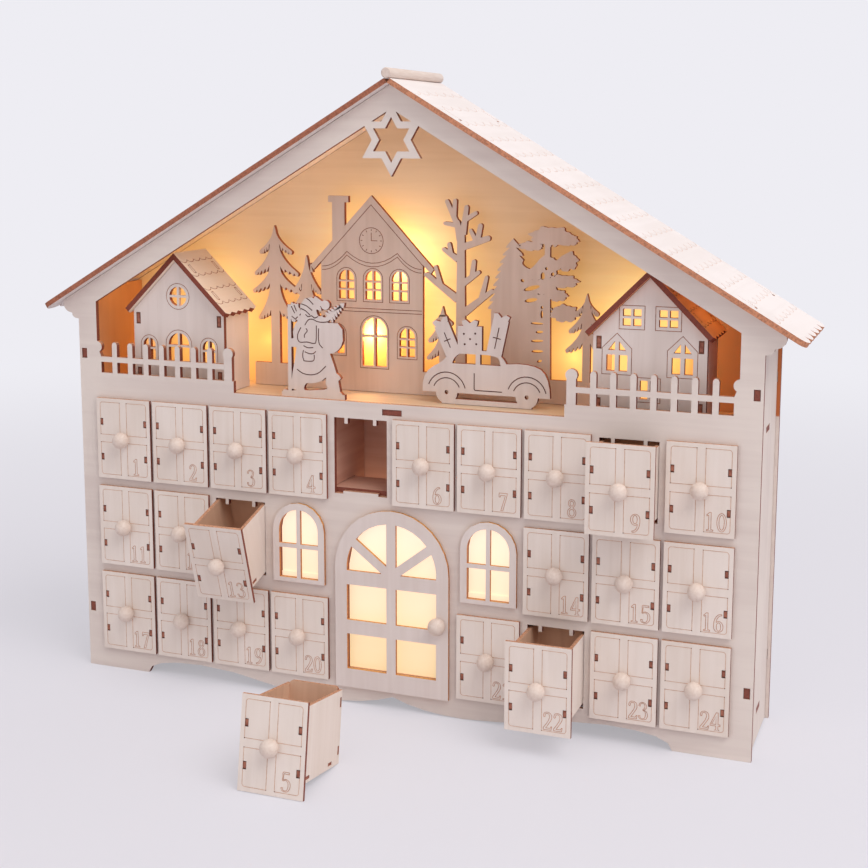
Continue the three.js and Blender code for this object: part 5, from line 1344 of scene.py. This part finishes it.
# %% Bare tree
branches = [((23.1, foot), (23.1, 281.5), 6.6, 4.6), ((22.9, 276.5), (20.6, 287.0), 5.0, 3.6),
            ((20.8, 285.6), (14.2, 299.4), 3.6, 2.5), ((18.6, 289.6), (19.3, 299.8), 3.0, 2.5),
            ((21.0, 285.2), (12.8, 286.4), 3.0, 2.1), ((24.2, 280.0), (26.6, 296.2), 4.2, 2.6),
            ((25.2, 288.4), (32.4, 292.8), 3.0, 2.4), ((24.6, 272.6), (40.0, 278.0), 4.2, 3.4),
            ((33.4, 276.0), (35.4, 285.4), 3.4, 2.8), ((32.2, 277.0), (29.2, 282.4), 2.8, 2.2),
            ((21.0, 265.0), (12.2, 270.8), 4.0, 2.4), ((16.8, 267.8), (15.6, 274.0), 3.0, 2.4),
            ((24.2, 250.6), (34.2, 257.6), 4.2, 2.6), ((30.2, 255.2), (31.4, 264.0), 3.4, 2.6),
            ((21.0, 241.0), (1.0, 255.2), 4.8, 3.0), ((10.0, 249.8), (7.0, 260.0), 3.0, 2.2),
            ((25.0, 233.0), (42.6, 246.6), 5.0, 2.8), ((36.2, 242.2), (39.4, 254.8), 3.4, 2.2)]
trees += [limb_line(*branch) for branch in branches]
print(len(branches), "branches")

# %% Gaps between the leaves
wide_gap = smooth([(61.6, 270.3), (69.4, 270.4), (75.2, 269.8), (72.2, 266.8), (69.6, 263.6),
                   (65.9, 260.9), (61.6, 263.6), (62.6, 267.0)], True, 3)
side_gap = smooth([(80.2, 268.6), (82.4, 266.4), (86.0, 269.4), (93.0, 273.4), (86.0, 274.0), (81.8, 271.4)], True, 3)
holes = [wide_gap, side_gap]
holes += [tilted(ellipse(x, z, rx, rz, 12), lean) for x, z, rx, rz, lean in (
    (74.4, 274.6, 0.9, 1.2, 0), (79.8, 274.2, 0.9, 1.3, 0), (76.4, 261.4, 0.9, 0.9, 0), (74.2, 257.0, 1.3, 2.2, 0),
    (80.2, 258.2, 1.0, 1.2, -30), (84.2, 259.1, 1.2, 0.6, 0), (61.8, 253.8, 1.2, 0.9, -20), (67.6, 249.6, 5.2, 1.3, 16),
    (67.2, 242.4, 4.0, 1.2, 12), (73.9, 238.4, 0.8, 0.9, 0), (73.9, 234.4, 0.8, 2.4, 0), (80.4, 239.6, 0.8, 2.4, 0),
    (71.0, 228.8, 4.0, 0.7, 0), (72.6, 223.8, 2.4, 0.8, 8), (71.2, 218.4, 3.9, 0.8, 4), (71.4, 212.2, 3.7, 0.9, 3),
    (72.8, 206.4, 1.6, 0.8, 20))]
print(len(holes), "gaps")

# %% Village sheet
def sheet_plates(outlines, y0, y1):
    """A plate for each outline, between two depths behind the house front."""
    return [new_piece("plate", *plate_solid(np.asarray(outline, float), front_y / mm + y0, front_y / mm + y1), [])
            for outline in outlines]


village_sheet = merged_copy("village", "village_engraved")
house_left, house_right, eave_left, eave_right, below_eaves = -69.2, -0.9, -76.4, 6.8, 254.0
clear = [(-140, eave_left, strip_top, 400), (eave_left - 1, house_left, strip_top, below_eaves),
         (eave_right, 140, strip_top, 400), (house_right, eave_right + 1, strip_top, below_eaves)]
cut_y = (front_y / mm + (village_y - 1), front_y / mm + (village_back + 1))
carve(village_sheet, [new_piece("cutter", *block(x0, x1, *cut_y, z0, z1), []) for x0, x1, z0, z1 in clear])
carve(village_sheet, sheet_plates(trees, village_y, village_back), "UNION")
carve(village_sheet, sheet_plates(holes, village_y - 1, village_back + 1))
print("trees with", len(trees), "shapes joined and", len(holes), "holes")
face = upright_face(village_y)
village_line_width, village_line_depth = 0.42, 0.3
carve(village_sheet, line_cutters(lines, village_line_width, village_line_depth, face))
finish_board(village_sheet, face, village_line_depth, [village_face, village_edge, village_line])
stand_for(village_sheet, "village")
print("village with", len(village_sheet.data.polygons), "faces")

# %% [markdown]
# ## Fence posts
# Each fence ends in a post with a ball-shaped head, and its other end meets the wall in half a head. The CAD heads
# have few corners, so round discs are joined to a copy of the front board.

# %% Round post heads
front_board = merged_copy("front_panel", "front_board_with_round_heads")
head_radius, head_places = 3.45, ((106.8, 208.1), (198.9, 207.8))
heads = [ellipse(side * x, z, head_radius, head_radius, 32) for side in (-1, 1) for x, z in head_places]
carve(front_board, sheet_plates(heads, 0.0, 3.0), "UNION")
front_board.data.materials.clear()
front_board.data.materials.append(front_wood)
stand_for(front_board, "front_panel")
print("front board with", len(front_board.data.polygons), "faces")

# %% [markdown]
# ## Car and gift-bringer
# The two figures in front are cut through with a few bold lines, so these are wider and darker than the fine
# engraving: mudguards, a door, ribbons and dots on the parcels, and the folds of a coat and a sack.

# %% Lines on the car
figure_face = face_wood("figure_veneer", "Z", light=srgb(226, 211, 204), deep=srgb(216, 200, 192))
figure_edge = edge_wood("figure_edge", srgb(176, 100, 70), srgb(116, 52, 40))
figure_line = burnt_line("figure_line", srgb(120, 66, 50), srgb(92, 46, 36))
wheels = ((22.1, 188.1), (71.7, 188.1))
mudguards = ((8.6, 22, 158), (12.0, 14, 160))
car_lines = [(arc(x, z, radius, start, end, 14), False) for x, z in wheels for radius, start, end in mudguards]
door_line = np.vstack([[(39.4, 200.4), (39.4, 191.6)], arc(40.4, 191.2, 1.0, 180, 270, 3), [(56.6, 190.2)]])
car_lines.append((door_line, False))
for x, z, tilt, reach_long, reach_short in ((22.5, 219.2, 24, 4.8, 2.2), (53.2, 221.8, -12, 6.4, 2.5)):
    t = math.radians(tilt)
    long_way, short_way = np.array([-math.sin(t), math.cos(t)]), np.array([math.cos(t), math.sin(t)])
    for way, span in ((long_way, reach_long), (short_way, reach_short)):
        ribbon_ends = [(x, z) + way * sign * span for sign in (-1, 1)]
        car_lines.append((np.array(ribbon_ends), False))
for x, z in ((32.8, 223.4), (39.9, 223.9), (36.7, 220.5), (33.4, 217.3), (40.6, 217.7)):
    car_lines.append((ellipse(x, z, 0.32, 0.32, 10), True))
print(len(car_lines), "lines on the car")

# %% Folds of the coat
coat_lines = [smooth(stroke) for stroke in (
    [(-63.9, 225.5), (-61.5, 228.8), (-58.7, 229.2), (-55.5, 228), (-51.1, 227.8), (-46.2, 228.9)],
    [(-66.6, 224), (-68.6, 220), (-68.8, 216.9), (-67.2, 215), (-62.6, 215.3), (-58.2, 214.7), (-56.6, 216.3),
     (-56.3, 225.6)],
    [(-54.8, 223.9), (-55, 218.5), (-54.4, 214.5), (-52.2, 212.2)],
    [(-65, 210.3), (-65.6, 207.4), (-65, 204.3), (-63.6, 203.7), (-58.5, 204.2), (-57.9, 207.8)],
    [(-64.2, 209.3), (-60.9, 208.3), (-58.4, 208.6), (-56.8, 210)],
    [(-65, 213), (-62, 211.9), (-58.5, 212.2)],
    [(-69.6, 198.4), (-65.3, 196), (-59.8, 195.5), (-54.9, 197.1), (-50.3, 201.3)],
    [(-63.2, 223.5), (-62.4, 222), (-64.2, 219.7), (-64.2, 217.9)],
    [(-63.1, 242), (-60.6, 240.5), (-58.2, 238.1)],
    [(-66.4, 238.3), (-62.6, 237.1), (-58.9, 234.5)],
    [(-66.6, 235.4), (-63.6, 234.3), (-60.4, 231.7)],
    [(-63.4, 232), (-61.6, 230.7), (-59.4, 231.3), (-57.4, 230.1), (-55.2, 231.1)])]
print(len(coat_lines), "folds")

# %% Outline of the gift-bringer
hat_end = [limb_line((-58.0, 241.4), (-52.4, 238.6), 4.2, 3.0), ellipse(-50.4, 238.2, 2.9, 2.9, 20),
           ellipse(-48.3, 218.2, 9.1, 9.2, 40), leaf_blob(-71.0, 233.0, 4.3, 5.6, 0.8)]
slant = math.radians(-49)
lean = np.array([(math.cos(slant), math.sin(slant)), (-math.sin(slant), math.cos(slant))])
carried_fir = toothed_line(0, 16.5, 13.5, 3.6, 2.2, -1.5) @ lean + (-50.2, 229.0)
mound = smooth([(-79.6, 181.6), (-78.6, 185.4), (-73.0, 185.0), (-66.0, 186.4), (-57.0, 185.6),
                (-50.0, 187.0), (-43.6, 187.4), (-40.0, 185.2), (-38.3, 181.6)])
mound = np.vstack([mound, [(-38.3, 181.4), (-79.6, 181.4)]])
fringe = np.array([(-53.0, 210.0), (-49.0, 208.6), (-49.6, 206.6), (-46.8, 204.4), (-47.6, 202.4), (-44.2, 200.4),
                   (-45.4, 198.6), (-41.6, 196.2), (-40.4, 194.4), (-42.4, 192.6), (-44.8, 189.0), (-42.6, 186.8),
                   (-53.0, 187.6)])
coat_lines += [np.array(stroke) for stroke in ([(-72.8, 236.6), (-70.6, 232.4)], [(-71.0, 237.4), (-69.4, 233.6)],
                                              [(-72.6, 230.6), (-70.2, 228.8), (-68.6, 230.4)])]
shoulder_gap = smooth([(-56.2, 235.2), (-53.4, 234.5), (-51.2, 235.0), (-50.2, 233.4), (-51.8, 231.9),
                       (-54.9, 231.4)], True, 3)
boot_gap = smooth([(-64.6, 186.0), (-63.6, 190.0), (-59.0, 190.4), (-53.6, 192.0), (-50.2, 194.4),
                   (-50.6, 190.8), (-49.6, 187.6), (-57.0, 186.4)], True, 3)
print("snow under the boots with", len(mound), "points")

# %% Both figures
figure_line_width, figure_line_depth = 0.6, 0.6
coat_strokes = [(line, False) for line in coat_lines]
for node_name, piece_name, depth_y, drawn in (("car", "car_cut", 31.0, car_lines),
                                              ("gift_bringer", "gift_bringer_cut", 18.0, coat_strokes)):
    figure = merged_copy(node_name, piece_name)
    face = upright_face(depth_y)
    if node_name == "gift_bringer":
        carve(figure, sheet_plates([square_line(-48.9, 227.6, -34.0, 248.0)], depth_y - 1, depth_y + 4))
        carve(figure, sheet_plates([*hat_end, carried_fir, mound, fringe], depth_y, depth_y + 3), "UNION")
        carve(figure, sheet_plates([boot_gap, shoulder_gap], depth_y - 1, depth_y + 4))
    carve(figure, line_cutters(drawn, figure_line_width, figure_line_depth, face))
    finish_board(figure, face, figure_line_depth, [figure_face, figure_edge, figure_line])
    stand_for(figure, node_name)
    print(piece_name, "with", len(figure.data.polygons), "faces")

# %% [markdown]
# ## Foot of the windows
# The opal sheet ends a little above the foot of each window, where a shelf passes behind the board. A narrow strip
# of the same opal, set into the front board's opening, closes the gap, so the light reaches down to the frame.

# %% Opal strips
strip_half, strip_y, strip_z = 13.3, (2.2, 2.9), (2.1, 5.0)
for name in ("window_left", "window_right"):
    low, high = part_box(name)
    middle = (low.x + high.x) / 2
    strip_low = (middle - strip_half * mm, front_y + strip_y[0] * mm, low.z + strip_z[0] * mm)
    strip_high = (middle + strip_half * mm, front_y + strip_y[1] * mm, low.z + strip_z[1] * mm)
    strip = new_piece(name + "_foot_strip", *box_solid(strip_low, strip_high), [opal])
    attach(strip, "house")
    print(strip.name, "from x =", round(strip_low[0], 4), "to", round(strip_high[0], 4))

# %% [markdown]
# ## Door knob
# The door's knob is the same turned ball as on the drawers, a little larger so that it sits over the CAD ball.

# %% Door knob
knob_x, knob_z, door_front = 30.0, 56.3, 2.3
knob_points, knob_faces = ball(knob_x, front_y / mm - door_front - knob_out, knob_z, 5.15, 4.05)
door_knob = new_piece("door_knob", knob_points, knob_faces, [turned])
door_knob.data.polygons.foreach_set("use_smooth", np.ones(len(knob_faces), bool))
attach(door_knob, "house")
print("door knob with", len(knob_faces), "faces")

# %% [markdown]
# ## Battery box
# On the back sits a moulded box with a lid and a sliding switch: matt white plastic with a fine spark texture.

# %% Moulded plastic
plastic, tree = new_material("moulded_plastic")
where = node(tree, "ShaderNodeTexCoord").outputs["Object"]
spark = node(tree, "ShaderNodeTexNoise", Vector=where, Scale=2600, Detail=2).outputs[0]
patch = node(tree, "ShaderNodeTexNoise", Vector=where, Scale=60, Detail=2).outputs[0]
white = blend_colour(tree, ramp(tree, patch, 0.35, 0.65), srgb(228, 226, 220), srgb(236, 234, 229))
finish_with(tree, white, spark, 0.45, 0.15)
dress(["battery_box", "battery_lid", "switch_slider"], plastic)
print("plastic on the box, its lid and its switch")
